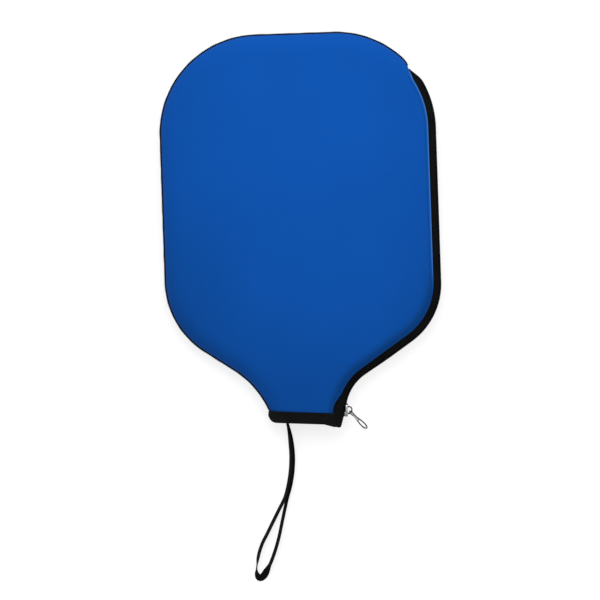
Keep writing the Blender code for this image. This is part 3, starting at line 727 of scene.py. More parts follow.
def edge_point(reach, angle, side, depth=0.0, slide=0.0):
    """inset = a (1 - cos), rise = b sin, then depth back along the ellipse's normal."""
    place, inward = outline_at(reach)
    inset = SEAM_INSET + EDGE_ROUND * (1 - np.cos(angle)) + slide
    scale = neck_scale((place + inward * inset[..., None])[..., 1])
    rise = MID * scale - EDGE_GAP
    normal = unit(np.stack([np.cos(angle) / EDGE_ROUND, np.sin(angle) / rise], axis=-1))
    flat = place + inward * (inset + depth * normal[..., 0])[..., None]
    height = EDGE_GAP + rise * np.sin(angle) - depth * normal[..., 1]
    return np.concatenate([flat, (MID + side * height)[..., None]], axis=-1)

# %% [markdown]
# ## The panels
# Each panel is one sheet of foam with the blue knit outside and the lining inside.
# Its grid has lines that run round the cover, from the cut edge in to a spine down
# the middle, so the rounded edge gets many lines and the flat face few. Outer and
# inner lines share their columns: that closes the cut edge and the mouth exactly.

# %% Lines round a panel
COLUMNS = 461
COLUMN_SHARE = np.linspace(0, 1, COLUMNS)
EDGE_LINES = np.array([0, 0.025, 0.06, 0.11, 0.18, 0.28, 0.4, 0.55, 0.7, 0.85, 1.0, 1.35, 2.0])
SPINE_LINES = np.linspace(0, 1, 17)[1:]
WALL = 3.0 * MM
KNIT_DEPTH = 2.45 * MM
LINING_DEPTH = 2.5 * MM
CORNER = 2.4 * MM
MOUTH_RISE = (3.6 * MM, 0.4 * MM)
EDGE_CURL = 0.3 * MM
CURL_END = 0.11


def mouth_reaches(line, raised):
    """Reaches of a line's columns, from where it meets the mouth round to the mouth again.

    The mouth slants up to the left and its left corner is rounded, so a line near it
    starts a little higher.
    """
    reach = np.linspace(0, REACH[-1], 2400)
    y = line(reach)[:, 1]
    half = len(reach) // 2
    low = np.interp(MOUTH_Y + MOUTH_RISE[0] + raised, y[:half], reach[:half])
    high = np.interp(-MOUTH_Y - MOUTH_RISE[1], -y[half:], reach[half:])
    return low + (high - low) * COLUMN_SHARE


def past_zip_top(reach):
    """0 before the zip starts and 1 from 4 mm along it."""
    return smooth((reach - ZIP_REACH - 1 * MM) / (3 * MM))


def edge_line(across, side, depth):
    """A line at a share of the rounded edge, or past 1 on the rim of the flat face.

    Beside the zip the last millimetre rises a little, as a cut edge does when it is
    sewn down from above.
    """
    def line(reach):
        start = angle_at(panel_setback(reach))
        angle = start + (PI / 2 - start) * min(across, 1)
        curl = EDGE_CURL * (1 - smooth(across / CURL_END)) * past_zip_top(reach)
        return edge_point(reach, angle, side, depth - curl, max(across - 1, 0) * RIM_WIDTH)

    inset = min(EDGE_ROUND * (1 - math.cos(PI / 2 * min(across, 1))), CORNER)
    raised = CORNER - math.sqrt(CORNER**2 - (CORNER - inset)**2)
    reach = mouth_reaches(line, raised)
    return line(reach), reach


# %% The flat face
def relief(x, y):
    """The foam's own soft shape: a low dome and a few long, faint waves."""
    dome = 0.75 * np.exp(-((x - 12 * MM) / (70 * MM)) ** 2 - ((y - 40 * MM) / (95 * MM)) ** 2)
    waves = 0.16 * np.sin(TURN * (0.6 * x + y) / (83 * MM) + 1.3)
    waves += 0.13 * np.sin(TURN * (x - 0.7 * y) / (61 * MM) + 0.4)
    waves += 0.10 * np.sin(TURN * (x + 0.25 * y) / (37 * MM) + 2.2)
    return (dome + waves) * MM


def spine_lines(rim, side, depth, puffed):
    """Lines between the rim and the spine: (1 - w) rim + w spine, then lifted by relief.

    The spine's y follows the rim's below the head's middle and falls behind it above,
    so the lines fan out over the head without meeting in one point.
    """
    y = (rim[:, 1] + rim[::-1, 1]) / 2
    x = np.abs(rim[:, 0] - rim[::-1, 0]) / 2
    over = np.maximum(y - 20 * MM, 0)
    spine_y = y - 0.65 * over + 0.3 * (86 * MM - x) * smooth(over / (60 * MM))
    spine = np.stack([np.zeros_like(spine_y), spine_y], axis=1)
    share = SPINE_LINES[:, None, None]
    flat = rim[None, :, :2] * (1 - share) + spine * share
    lift = MID * neck_scale(flat[..., 1]) - depth
    settled = smooth(2 * SPINE_LINES)[:, None] * smooth((flat[..., 1] - MOUTH_Y - 14 * MM) / (40 * MM))
    lift += puffed * relief(flat[..., 0], flat[..., 1]) * settled
    return np.concatenate([flat, (MID + side * lift)[..., None]], axis=-1)


def panel_lines(side, depth, puffed):
    """All lines from the cut edge to the spine, and each one's reaches."""
    made = [edge_line(across, side, depth) for across in EDGE_LINES]
    edge = np.stack([points for points, _ in made])
    reach = np.stack([reach for _, reach in made])
    return np.concatenate([edge, spine_lines(edge[-1], side, depth, puffed)]), reach


# %% A panel's shell
LIP = np.array([0.15, 0.5, 0.85])
# Rim values for the rows about the cut edge beside the zip: a painted highlight on the raw edge.
EDGE_HIGHLIGHT_VALUES = (0.15, 0.75, 1.0, 1.0, 0.8, 0.4)
SHADE_START = -20 * MM
SHADE_LENGTH = 45 * MM
SHADE_ROWS = 11
SHADE_SOFT = 9


def painted_rim_light(rows, cut, y, reach):
    """The rim attribute of a panel's grid, whose row number cut is the outer cut edge.

    Below the shoulder it falls softly from 0 to -1 over the last rows before the cut,
    painting shade where the edge curls down. Above it, beside the zip, the few rows
    about the cut follow the table of highlight values instead, painting a highlight
    on the raw edge.
    """
    below = smooth((SHADE_START - y) / SHADE_LENGTH) * (reach > ZIP_REACH)
    values = -smooth((np.arange(rows) - cut + SHADE_ROWS) / SHADE_SOFT)[:, None] * below
    values[cut + 5:] = 0
    above = past_zip_top(reach) * (1 - below)
    for row, value in zip(range(cut - 3, cut + 3), EDGE_HIGHLIGHT_VALUES):
        values[row] = value * above + values[row] * (1 - value * (1 - below))
    return values


def panel_shell(name, side, depths, finish, puffed=0.0, bulge=0.25 * MM):
    """A closed shell between two depths: outer lines, a rounded lip, inner lines."""
    outer, reach = panel_lines(side, depths[0], puffed)
    inner, _ = panel_lines(side, depths[1], puffed)
    _, inward = outline_at(reach[0])
    share = LIP[:, None, None]
    lip = outer[0] * (1 - share) + inner[0] * share
    lip[..., :2] -= (bulge * 4 * share * (1 - share)) * inward
    shell = np.concatenate([outer[::-1], lip, inner])
    rim = painted_rim_light(len(shell), len(outer) - 1, outer[0][:, 1], reach[0])
    parts = [grid_part(shell, rim=rim)]
    for column in (0, -1):
        spread = np.concatenate([[0], LIP, [1]])[None, :, None]
        cap = outer[:, None, column] * (1 - spread) + inner[:, None, column] * spread
        cap[0, 1:-1] = lip[:, column]
        parts.append(grid_part(cap))
    return make_piece(name, parts, finish, weld=True, smooth_angle=60)


# %% Front and back
THIN_LIP = 0.05 * MM
front_skin = panel_shell("front_knit_and_foam", 1, (0, KNIT_DEPTH), JERSEY, puffed=1.0)
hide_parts("front_panel", "front_flap")
bend_with_flap(front_skin)

front_lining = panel_shell("front_lining", 1, (LINING_DEPTH, WALL), LINING, puffed=1.0, bulge=THIN_LIP)
bend_with_flap(front_lining)

back_skin = panel_shell("back_knit_and_foam", -1, (0, KNIT_DEPTH), JERSEY)
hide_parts("back_panel")
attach(back_skin, "case")

back_lining = panel_shell("back_lining", -1, (LINING_DEPTH, WALL), LINING, bulge=THIN_LIP)
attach(back_lining, "case")

# %% [markdown]
# ## The overlocked seam
# On the left and over the top an overlock machine trims both panels and wraps
# thread round the raw edges. Seen from the front it is one thin black line with a
# slightly ragged outer side. A bead fills the edge, and a helix stands for the
# thread: a circle squeezed to an ellipse, carried along the outline.

# %% Overlock
LOOP_PITCH = 1.45 * MM
LOOP_POINTS = 10
LOOP_RISE = 1.15 * MM
LOOP_THREAD = 0.26 * MM
BEAD_RADIUS = 0.85 * MM
SEAM_FOOT = reach_nearest(-29.5 * MM, -137.3 * MM) - 1.5 * MM


def seam_line(reach, inset):
    """Points at mid height, this far in from the outline."""
    place, inward = outline_at(reach)
    return np.column_stack([place + inward * inset[:, None], np.full(len(reach), MID)])


def seam_inset(reach):
    """The seam turns in at both ends, to pass behind the zip and under the binding."""
    top = 0.85 * (panel_setback(reach) - SEAM_INSET)
    top += 1.6 * MM * smooth((reach - ZIP_REACH + 3.2 * MM) / (3 * MM))
    return 0.75 * MM + top + 1.3 * MM * smooth((SEAM_FOOT + 2.2 * MM - reach) / (2 * MM))


def overlock():
    """The bead, and a helix: inset a - b cos and height MID + c sin of the turn."""
    start = SEAM_FOOT
    end = ZIP_REACH - 1.0 * MM
    reach = np.linspace(start, end, round((end - start) / (3 * MM)))
    bead = thread_part(seam_line(reach, seam_inset(reach) + 0.4 * MM), BEAD_RADIUS, 8)
    turns = (end - start) / LOOP_PITCH
    reach = np.linspace(start, end, round(turns * LOOP_POINTS))
    turn = TURN * (reach - start) / LOOP_PITCH
    ragged = 0.12 * np.sin(reach / (3.1 * MM)) + 0.10 * np.sin(reach / (1.9 * MM) + 1)
    place, inward = outline_at(reach)
    inset = seam_inset(reach) + (0.2 - (0.78 + ragged) * np.cos(turn)) * MM
    helix = np.column_stack([place + inward * inset[:, None], MID + LOOP_RISE * np.sin(turn)])
    return [bead, thread_part(helix, LOOP_THREAD, 5)]


edge_overlock = make_piece("edge_overlock", overlock(), BLACK_THREAD)
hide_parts("edge_seam_thread")
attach(edge_overlock, "case")

# %% [markdown]
# ## The zip
# The tapes are twill strips. Each one starts behind the coil, bends round the edge
# and runs in under its panel. Its section is a closed loop of (share of the way
# across, depth): out along the top, round the hidden edge, and back underneath. At
# the neck it is cut on two slanted lines, so that it ends in a drooping corner; the
# corner is rounded by taking log(exp a + exp b) of the two distances for their maximum.

# %% Tapes
TAPE_START = 1.3 * MM
TAPE_RECESS = 0.5 * MM
TAPE_THICKNESS = 0.75 * MM
TAPE_UNDER = math.radians(78)
TAPE_END = np.array((25.6 * MM, -152.0 * MM))
DOWN_TURN = math.radians(18)
LEAN_TURN = math.radians(16)
TAPE_DOWN = np.array((-math.sin(DOWN_TURN), -math.cos(DOWN_TURN)))
TAPE_LEAN = np.array((math.cos(LEAN_TURN), -math.sin(LEAN_TURN)))
TAPE_CORNER = 0.9 * MM
BELLY = 0.75 * MM
BAND_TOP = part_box("neck_binding")[1].y
TAPE_COLUMNS = np.linspace(0, 1, 260)
COIL_END = reach_nearest(NECK_RIGHT[0], -140.0 * MM)


def belly(reach):
    """The chain bellies out a little along the head, between its two ends."""
    after_top = smooth((reach - ZIP_REACH) / (12 * MM))
    return BELLY * after_top * (1 - smooth((reach - COIL_END + 60 * MM) / (30 * MM)))


def tape_line(share, sink, side):
    """One line along a tape, from the top of the zip to its slanted end at the neck."""
    def line(reach):
        rim = angle_at(panel_setback(reach))
        place, _ = outline_at(reach)
        at_mouth = smooth((-130 * MM - place[:, 1]) / (6 * MM))
        last = TAPE_UNDER - at_mouth * (TAPE_UNDER - rim + math.radians(2.5))
        first = math.asin(TAPE_START / MID)
        angle = first + (last - first) * share
        tucked = smooth(angle / rim)
        depth = TAPE_RECESS + (WALL + 0.3 * MM - TAPE_RECESS) * tucked + sink
        over_coil = (0.8 * MM + belly(reach)) * (1 - smooth(share / 0.2))
        return edge_point(reach, angle, side, depth, chain_dip(reach) * (1 - tucked) - over_coil)

    start = ZIP_REACH - 1.0 * MM
    reach = np.linspace(start, RIGHT_MOUTH + 9 * MM, 3000)
    points = line(reach)[:, :2]
    past = np.stack([(points - TAPE_END) @ TAPE_DOWN, (points - TAPE_END) @ TAPE_LEAN]) / TAPE_CORNER
    beyond = np.logaddexp(past[0], past[1])
    cut = np.nonzero((beyond > 0) & (points[:, 1] < BAND_TOP))[0][0]
    return line(start + (reach[cut] - start) * TAPE_COLUMNS)


# %% Two tapes
def tape_section():
    """(share, sink) round the tape: a shallow groove parts the coil's band from the rest."""
    share = np.linspace(0, 1, 19)
    groove = 0.18 * MM * np.exp(-((share - 0.30) / 0.05) ** 2)
    band = -0.15 * MM * np.exp(-((share - 0.15) / 0.12) ** 2)
    top = np.stack([share, groove + band], axis=1)
    edge = [[1.01, TAPE_THICKNESS / 2]]
    under = np.stack([share[::-2], np.full(len(share[::-2]), TAPE_THICKNESS)], axis=1)
    return np.concatenate([top, edge, under, [[-0.02, TAPE_THICKNESS / 2]]])


def zip_tape(name, side, node):
    """One tape: its section's lines side by side, closed into a loop and capped."""
    section = tape_section()
    lines = np.stack([tape_line(share, sink, side) for share, sink in section], axis=1)
    piece = make_piece(name, [grid_part(lines, wrap=True, caps=True)], TWILL_TAPE, smooth_angle=60)
    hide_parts(node)
    return piece


tape_back = zip_tape("zip_tape_back_woven", -1, "zip_tape_back")
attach(tape_back, "case")
tape_front = zip_tape("zip_tape_front_woven", 1, "zip_tape_front")
bend_with_flap(tape_front)

# %% [markdown]
# The coil is one nylon filament wound round a cord. The two coils have the same
# pitch, half a turn apart, so their loops mesh at mid height. A helix is the path's
# frame times (cos, sin), with the ellipse a little taller than it is deep. The
# three crimped stops keep the engineering model's shape and only get a metal finish.

# %% Coils
COIL_PITCH = 1.3 * MM
COIL_INSET = 0.95 * MM
COIL_RISE = 1.15 * MM
LOOP_DEEP = 0.62 * MM
LOOP_TALL = 0.98 * MM
FILAMENT = 0.27 * MM
CORD_RADIUS = 0.42 * MM
CORD_POINTS = 150
COIL_START = ZIP_REACH + 0.5 * MM


def chain_line(reach, inset, height):
    """Points along the chain, in from the outline and up from mid height."""
    place, inward = outline_at(reach)
    flat = place + inward * (chain_dip(reach) + inset - belly(reach))[:, None]
    return np.column_stack([flat, MID + height * np.ones(len(reach))])


def coil(name, side, node):
    """A helix round a straight cord, wound the other way up on the back."""
    turns = (COIL_END - COIL_START) / COIL_PITCH
    reach = np.linspace(COIL_START, COIL_END, round(turns * 10))
    turn = TURN * (reach - COIL_START) / COIL_PITCH + (PI if side > 0 else 0)
    helix = chain_line(reach, COIL_INSET - LOOP_DEEP * np.cos(turn),
                       side * (COIL_RISE + LOOP_TALL * np.sin(turn)))
    straight = np.linspace(COIL_START, COIL_END, CORD_POINTS)
    inset = np.full(CORD_POINTS, COIL_INSET + 0.1 * MM)
    core = chain_line(straight, inset, side * (COIL_RISE + 0.15 * MM))
    parts = [thread_part(helix, FILAMENT, 5), thread_part(core, CORD_RADIUS, 6)]
    piece = make_piece(name, parts, NYLON)
    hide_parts(node)
    return piece


coil_back = coil("zip_coil_back_loops", -1, "zip_coil_back")
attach(coil_back, "case")
coil_front = coil("zip_coil_front_loops", 1, "zip_coil_front")
bend_with_flap(coil_front)
for stop in ("zip_bottom_stop", "zip_top_stop_back", "zip_top_stop_front"):
    frame["nodes"][stop].data.materials.clear()
    frame["nodes"][stop].data.materials.append(STRIP_METAL)

# %% [markdown]
# A line of lockstitch holds each tape, 2 mm inside the panel's cut edge. A stitch is
# a short thread whose ends dive into the knit: its height over the cloth is a half
# sine less a little, so only its middle shows.

# %% Stitches
STITCH_LENGTH = 2.9 * MM
STITCH_LIFT = 0.2 * MM
STITCH_RADIUS = 0.2 * MM
STITCH_INSET = 2.2 * MM


def stitch_parts(point_at, start, end, length=STITCH_LENGTH):
    """Stitches along a line; point_at(distance, lift) gives points over the cloth."""
    parts = []
    for first in np.arange(start, end - length, length):
        share = np.linspace(0.04, 0.96, 7)
        rise = STITCH_LIFT * (1.5 * np.sin(PI * share) - 0.9)
        parts.append(thread_part(point_at(first + length * share, rise), STITCH_RADIUS, 5))
    return parts


def tape_stitches(name, side, node):
    """One tape's line of stitches, from the top of the zip to the binding."""
    def over_panel(reach, lift):
        angle = angle_at(panel_setback(reach) + STITCH_INSET)
        return edge_point(reach, angle, side, -lift)

    bottom = reach_nearest(NECK_RIGHT[0], BAND_TOP) - 4 * MM
    parts = stitch_parts(over_panel, ZIP_REACH + 5 * MM, bottom)
    piece = make_piece(name, parts, BLUE_THREAD)
    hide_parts(node)
    return piece


stitches_back = tape_stitches("tape_stitches_back", -1, "tape_stitch_back")
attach(stitches_back, "case")
stitches_front = tape_stitches("tape_stitches_front", 1, "tape_stitch_front")
bend_with_flap(stitches_front)

# %% [markdown]
# ## The neck binding
# A ribbed tape is folded over the mouth and sewn through. Its section is a U: down
# the outside, round a fold shaped as a superellipse, and up inside. The section is
# carried round the neck, whose shape is read at each height from the panels' edge
# lines. Front and back are two pieces, because the front has to bend with the flap.

# %% Shape of the neck
FLAT_SHARE = np.linspace(0, 1, 60)
SLOPE_START = 13 * MM
SLOPE_FALL = 0.2
BAND_RISE = 2.3 * MM
BAND_SLANT = 0.066
BAND_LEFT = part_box("neck_binding")[0].x


def edge_at(across, y, side, depth, left):
    """Points at heights y and depths on one edge line of the neck, by interpolation."""
    if left:
        reach = np.linspace(0, 60 * MM, 500)
        start = np.zeros(500)
    else:
        reach = np.linspace(RIGHT_MOUTH - 40 * MM, REACH[-1], 500)
        start = angle_at(panel_setback(reach) - 1.3 * MM)
    angle = start + (PI / 2 - start) * min(across, 1)
    found = []
    for deep in (0, MM):
        line = edge_point(reach, angle, side, deep, max(across - 1, 0) * RIM_WIDTH)
        order = np.argsort(line[:, 1])
        found.append(np.stack([np.interp(y, line[order, 1], line[order, k]) for k in (0, 2)]))
    x, z = found[0] + (found[1] - found[0]) * depth / MM
    return np.stack([x, y, z], axis=-1)


def neck_grid(y, depth, side):
    """Rows from the left edge over the flat to the right cut edge; columns are (y, depth).

    The level band is then slanted, and below its top edge it is raised by a share that
    grows to the mouth, drawn down to the right, and let out to the left.
    """
    shares = np.linspace(0, 1, 9)
    left = np.stack([edge_at(share, y, side, depth, True) for share in shares])
    right = np.stack([edge_at(share, y, side, depth, False) for share in shares[::-1]])
    share = FLAT_SHARE[1:-1, None, None]
    flat = left[-1] * (1 - share) + right[0] * share
    grid = np.concatenate([left, flat, right])
    hang = np.clip((BAND_TOP - grid[..., 1]) / (BAND_TOP - MOUTH_Y), 0, 1.2)
    x = grid[..., 0]
    slant = 0.5 * MM - BAND_SLANT * (x - BAND_LEFT)
    rise = BAND_RISE + corner_rise(grid[:, :1, 0]) - SLOPE_FALL * np.maximum(x - SLOPE_START, 0)
    grid[..., 1] += slant + hang * rise
    grid[..., 0] -= (0.8 + 2.5 * smooth(hang * 1.3)) * MM * (1 - smooth((x - BAND_LEFT) / (16 * MM)))
    return grid


def corner_rise(x):
    """The mouth's left corner is rounded: R - sqrt(R^2 - (R - d)^2), d in from the edge."""
    inset = np.clip(x - BAND_LEFT, 0, CORNER)
    return CORNER - np.sqrt(CORNER**2 - (CORNER - inset)**2)


# %% The band's section
INNER_TOP = BAND_TOP - 2.2 * MM
HALF_BAND = 0.38 * MM
SELVEDGE = 0.45
BAND_STITCH = 2.8 * MM
BAND_FACE = np.array([-0.7 * MM - HALF_BAND])


def band_section():
    """The U's middle line as (y, depth), and its normals."""
    turn = np.linspace(0, PI, 13)
    fold_y = MOUTH_Y + 0.3 * MM - 1.6 * MM * np.abs(np.sin(turn)) ** 0.7
    fold_depth = 1.5 * MM - 2.2 * MM * np.sign(np.cos(turn)) * np.abs(np.cos(turn)) ** 0.7
    outside = np.linspace(BAND_TOP, fold_y[0], 9)[:-1]
    inside = np.linspace(fold_y[-1], INNER_TOP, 6)[1:]
    y = np.concatenate([outside, fold_y, inside])
    depth = np.concatenate([np.full(8, fold_depth[0]), fold_depth, np.full(5, fold_depth[-1])])
    middle = np.stack([y, depth], axis=1)
    tangent = unit(np.gradient(middle, axis=0))
    return middle, np.stack([tangent[:, 1], -tangent[:, 0]], axis=1)


def shell_parts(outer, inner, rim=None):
    """A thick sheet's loop, closed at both ends by strips between its two faces."""
    loop = np.concatenate([outer, inner[:, ::-1]], axis=1)
    rim = None if rim is None else np.broadcast_to(rim, loop.shape[:2])
    return [grid_part(loop, wrap=True, rim=rim)] + [
        grid_part(np.stack([outer[row], inner[row]])) for row in (0, -1)]


def band(side):
    """The U's two faces on either side of its middle line, thinner at both selvedges."""
    middle, normal = band_section()
    half = np.full((len(middle), 1), HALF_BAND)
    half[[0, -1]] *= SELVEDGE
    outer = middle - normal * half
    inner = middle + normal * half
    sheets = [neck_grid(face[:, 0], face[:, 1], side) for face in (outer, inner)]
    return shell_parts(*sheets)


# %% Thread on the band
def band_stitches(side):
    """Stitches in a line over the band, a little below its top."""
    line = neck_grid(np.array([BAND_TOP - 1.9 * MM]), BAND_FACE, side)[:, 0]
    line = evenly(line, 0.3 * MM)
    length = np.linalg.norm(np.diff(line, axis=0), axis=1).sum()
    places = np.linspace(0, length, len(line))
    away = unit(np.stack([line[:, 0] * 0.15, 0 * line[:, 0], line[:, 2] - MID], axis=1))

    def over_band(distance, lift):
        at = np.stack([np.interp(distance, places, line[:, k]) for k in range(3)], axis=1)
        out = np.stack([np.interp(distance, places, away[:, k]) for k in range(3)], axis=1)
        return at + out * lift[:, None]

    return stitch_parts(over_band, 2 * MM, length - 2 * MM, BAND_STITCH)


BAR_THREAD = 0.22 * MM
BAR_LIFT = 0.12 * MM
BAR_CROSSINGS = 14


def crossed_bar(centre, side):
    """A bartack: a zigzag of thread 7 mm long and 2.2 mm high on the band's outer face."""
    face_z = neck_grid(np.array([-143 * MM]), BAND_FACE, side)[len(FLAT_SHARE) // 2, 0, 2]
    share = np.linspace(0, 1, 181)
    zigzag = 2 * np.abs((share * BAR_CROSSINGS) % 1 - 0.5) * 2 - 1
    x = centre[0] + (share - 0.5) * 7 * MM
    y = centre[1] + zigzag * 1.1 * MM
    z = face_z + side * BAR_LIFT + side * BAR_LIFT * (1 - zigzag**2)
    return [thread_part(np.stack([x, y, z], axis=1), BAR_THREAD, 5)]


# %% The binding's pieces
band_back = make_piece("neck_band_back", band(-1), GROSGRAIN, weld=True, smooth_angle=50)
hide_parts("neck_binding")
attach(band_back, "case")
band_front = make_piece("neck_band_front", band(1), GROSGRAIN, weld=True, smooth_angle=50)
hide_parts("neck_binding_flap")
bend_with_flap(band_front)

thread_back = make_piece("band_stitches_back", band_stitches(-1), BLACK_THREAD)
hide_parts("binding_stitch")
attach(thread_back, "case")
front_thread = band_stitches(1) + crossed_bar((-11.5 * MM, -143.4 * MM), 1)
thread_front = make_piece("band_stitches_front", front_thread, BLACK_THREAD)
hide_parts("binding_stitch_flap")
bend_with_flap(thread_front)
back_bar = crossed_bar((-14.9 * MM, -144 * MM), -1)
bartack = make_piece("strap_bar_of_thread", back_bar, BLACK_THREAD)
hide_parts("strap_bartack")
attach(bartack, "case")

# %% [markdown]
# ## Slider, bridge and pull tab
# The slider is worked in its own axes: X along the chain, Y out from the case, Z
# across the chain. Its outer plate is a channel with rounded ends; a wedge parts the
# coils and an inner plate runs behind them. The wedge and the inner plate are
# superellipsoids, sign(c)|c|^e for each cosine or sine c. The bridge is a wire that
# arches over the plate and swells at its feet.

# %% The slider's axes and shapes
SLIDER_TURN = math.radians(-3.5)
SLIDER_X = np.array((-math.sin(SLIDER_TURN), math.cos(SLIDER_TURN), 0.0))
SLIDER_Y = np.array((math.cos(SLIDER_TURN), math.sin(SLIDER_TURN), 0.0))
SLIDER_Z = np.cross(SLIDER_X, SLIDER_Y)
CHAIN_CENTRE = arc_centre - 34 * MM * SLIDER_Y


def in_slider(local):
    """Points given in the slider's axes, in mm, placed in the case's axes."""
    local = np.asarray(local) * MM
    flat = local[..., :1] * SLIDER_X + local[..., 1:2] * SLIDER_Y
    return CHAIN_CENTRE + flat + local[..., 2:] * SLIDER_Z


def power(value, exponent):
    """sign(v) |v|^e, so that a sine or cosine keeps its sign."""
    return np.sign(value) * np.abs(value) ** exponent


def pebble(centre, half, exponent=0.35, rows=15, columns=28):
    """A rounded block: half sizes times powers of the cosines of latitude and turn."""
    lift = np.linspace(-PI / 2, PI / 2, rows + 2)[1:-1, None]
    turn = np.linspace(0, TURN, columns, endpoint=False)[None, :]
    x = power(np.cos(lift), exponent) * power(np.cos(turn), exponent)
    y = power(np.cos(lift), exponent) * power(np.sin(turn), exponent)
    z = power(np.sin(lift), exponent) * np.ones_like(turn)
    return np.array(centre) + np.stack([x, y, z], axis=-1) * np.array(half)


def channel():
    """Outer plate and flanges: a C section that narrows and thins towards both ends.

    The lists go from a flange's foot round its bend to the middle of the plate, in mm;
    side is the outer face and under the inner one, and both are then mirrored.
    """
    x = 5 * np.sin(np.linspace(-PI / 2, PI / 2, 31))
    width = (1 - 0.42 * np.abs(x / 5) ** 7)[:, None]
    drop = (0.35 * np.abs(x / 5) ** 10)[:, None]
    bend = np.linspace(0, PI / 2, 6)
    side_z = np.concatenate([[3.9, 3.9, 3.9], 3.5 + 0.4 * np.cos(bend[1:]), [2.5, 1.2]])
    side_y = np.concatenate([[-0.45, 0, 0.5], 0.8 + 0.4 * np.sin(bend[1:]), [1.22, 1.26]])
    under_z = np.concatenate([[3.05, 3.05, 3.05, 3.05, 3.05], [2.9, 2.7, 2.5], [1.8, 1.0]])
    under_y = np.concatenate([[-0.45, -0.2, 0, 0.2, 0.4], [0.45, 0.45, 0.45], [0.45, 0.45]])
    faces = []
    for z, y, top in ((side_z, side_y, 1), (under_z, under_y, 0)):
        z, y = np.concatenate([z, -z[::-1]]), np.concatenate([y, y[::-1]])
        y = y[None, :] - top * drop * (y > 0.4)
        z = z[None, :] * width
        faces.append(in_slider(np.stack([x[:, None] + 0 * z, y, z], axis=-1)))
    # Both ends of the plate carry the rim attribute, so shade is painted there.
    return shell_parts(*faces, rim=smooth((np.abs(x[:, None]) - 3.6) / 0.9))


# %% Slider body
wedge_block = pebble((-3.4, -1.9, 0), (1.2, 2.5, 0.55), 0.5)
inner_plate = pebble((0, -4.8, 0), (4.7, 0.5, 1.7), 0.4)
blocks = [in_slider(wedge_block), in_slider(inner_plate)]
body_parts = channel() + [grid_part(block, wrap=True, caps=True) for block in blocks]
slider_shell = make_piece("slider_shell", body_parts, PALE_PLATE, weld=True, smooth_angle=45)
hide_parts("slider_body")
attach(slider_shell, "slider")

# %% Bridge
BRIDGE_HALF = 2.6
arch_turn = np.linspace(0, PI, 41)
arch_x = BRIDGE_HALF * power(np.cos(arch_turn), 0.8)
arch_y = 1.7 + BRIDGE_HALF * power(np.sin(arch_turn), 0.8)
arch = np.stack([arch_x, arch_y, 0 * arch_x], axis=1)
arch = np.concatenate([[(BRIDGE_HALF, 1.2, 0)], arch, [(-BRIDGE_HALF, 1.2, 0)]])
wire_radius = 0.5 * MM * (1 + 0.35 * np.linspace(-1, 1, len(arch)) ** 8)
ring = circle(1, 12)[None] * wire_radius[:, None, None]
wire = carried(in_slider(arch), ring, UP)
foot_x = (-BRIDGE_HALF, BRIDGE_HALF)
feet = [in_slider(pebble((x, 1.25, 0), (0.95, 0.3, 0.95), 0.7, 9, 20)) for x in foot_x]
bridge_parts = [grid_part(wire, wrap=True, caps=True)]
bridge_parts += [grid_part(foot, wrap=True, caps=True) for foot in feet]
bridge = make_piece("slider_bridge_wire", bridge_parts, GUNMETAL)
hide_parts("slider_bridge")
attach(bridge, "slider")

# %% [markdown]
# The tab is two flat rings side by side, one round the eye and one round the window,
# that share the line between them. A ring's grid runs from its hole to its outer
# loop. Its height is T / 2 times a quarter ellipse near each rim, so both rims are
# rounded, and the underside is the same grid turned over. Sizes here are in mm, in
# the tab's own axes: X from the bridge to the tip, and Z through its thickness.

# %% Pull tab
TAB_HANG = math.radians(-47)
TAB_UPRIGHT = math.radians(60)
TAB_X = np.array((math.cos(TAB_HANG), math.sin(TAB_HANG), 0.0))
TAB_LEVEL = np.array((-math.sin(TAB_HANG), math.cos(TAB_HANG), 0.0))
TAB_Y = TAB_LEVEL * math.cos(TAB_UPRIGHT) + np.array((0, 0, math.sin(TAB_UPRIGHT)))
TAB_Z = np.cross(TAB_X, TAB_Y)
TAB_START = 0.9
TAB_TIP = 20.2
TAB_NARROW = 1.9
TAB_WIDE = 3.5
TAB_DIVIDE = 8.4
TAB_HALF_THICK = 0.45
RIM_ROUND = 0.3
# How far in from the hole and the outline the tab's rims are painted dark as shade.
RIM_SHADE_SPREAD = 0.34
EYE = (3.2, 1.45, 1.2)
WINDOW = (14.9, 3.9, 2.3)
DIVIDE_POINTS = 9
RIM_POINTS = 31


def tab_half_width(x):
    """A small round end, a waist, and a flare to the wide round end."""
    flare = TAB_NARROW - 0.25 * np.exp(-((x - 7) / 2.5) ** 2)
    flare = flare + (TAB_WIDE - TAB_NARROW) * smooth((x - 6.5) / 9)
    near = np.sqrt(1 - np.clip((TAB_START + TAB_NARROW - x) / TAB_NARROW, 0, 1) ** 2)
    far = np.sqrt(1 - np.clip((x - TAB_TIP + TAB_WIDE) / TAB_WIDE, 0, 1) ** 2)
    return flare * near * far


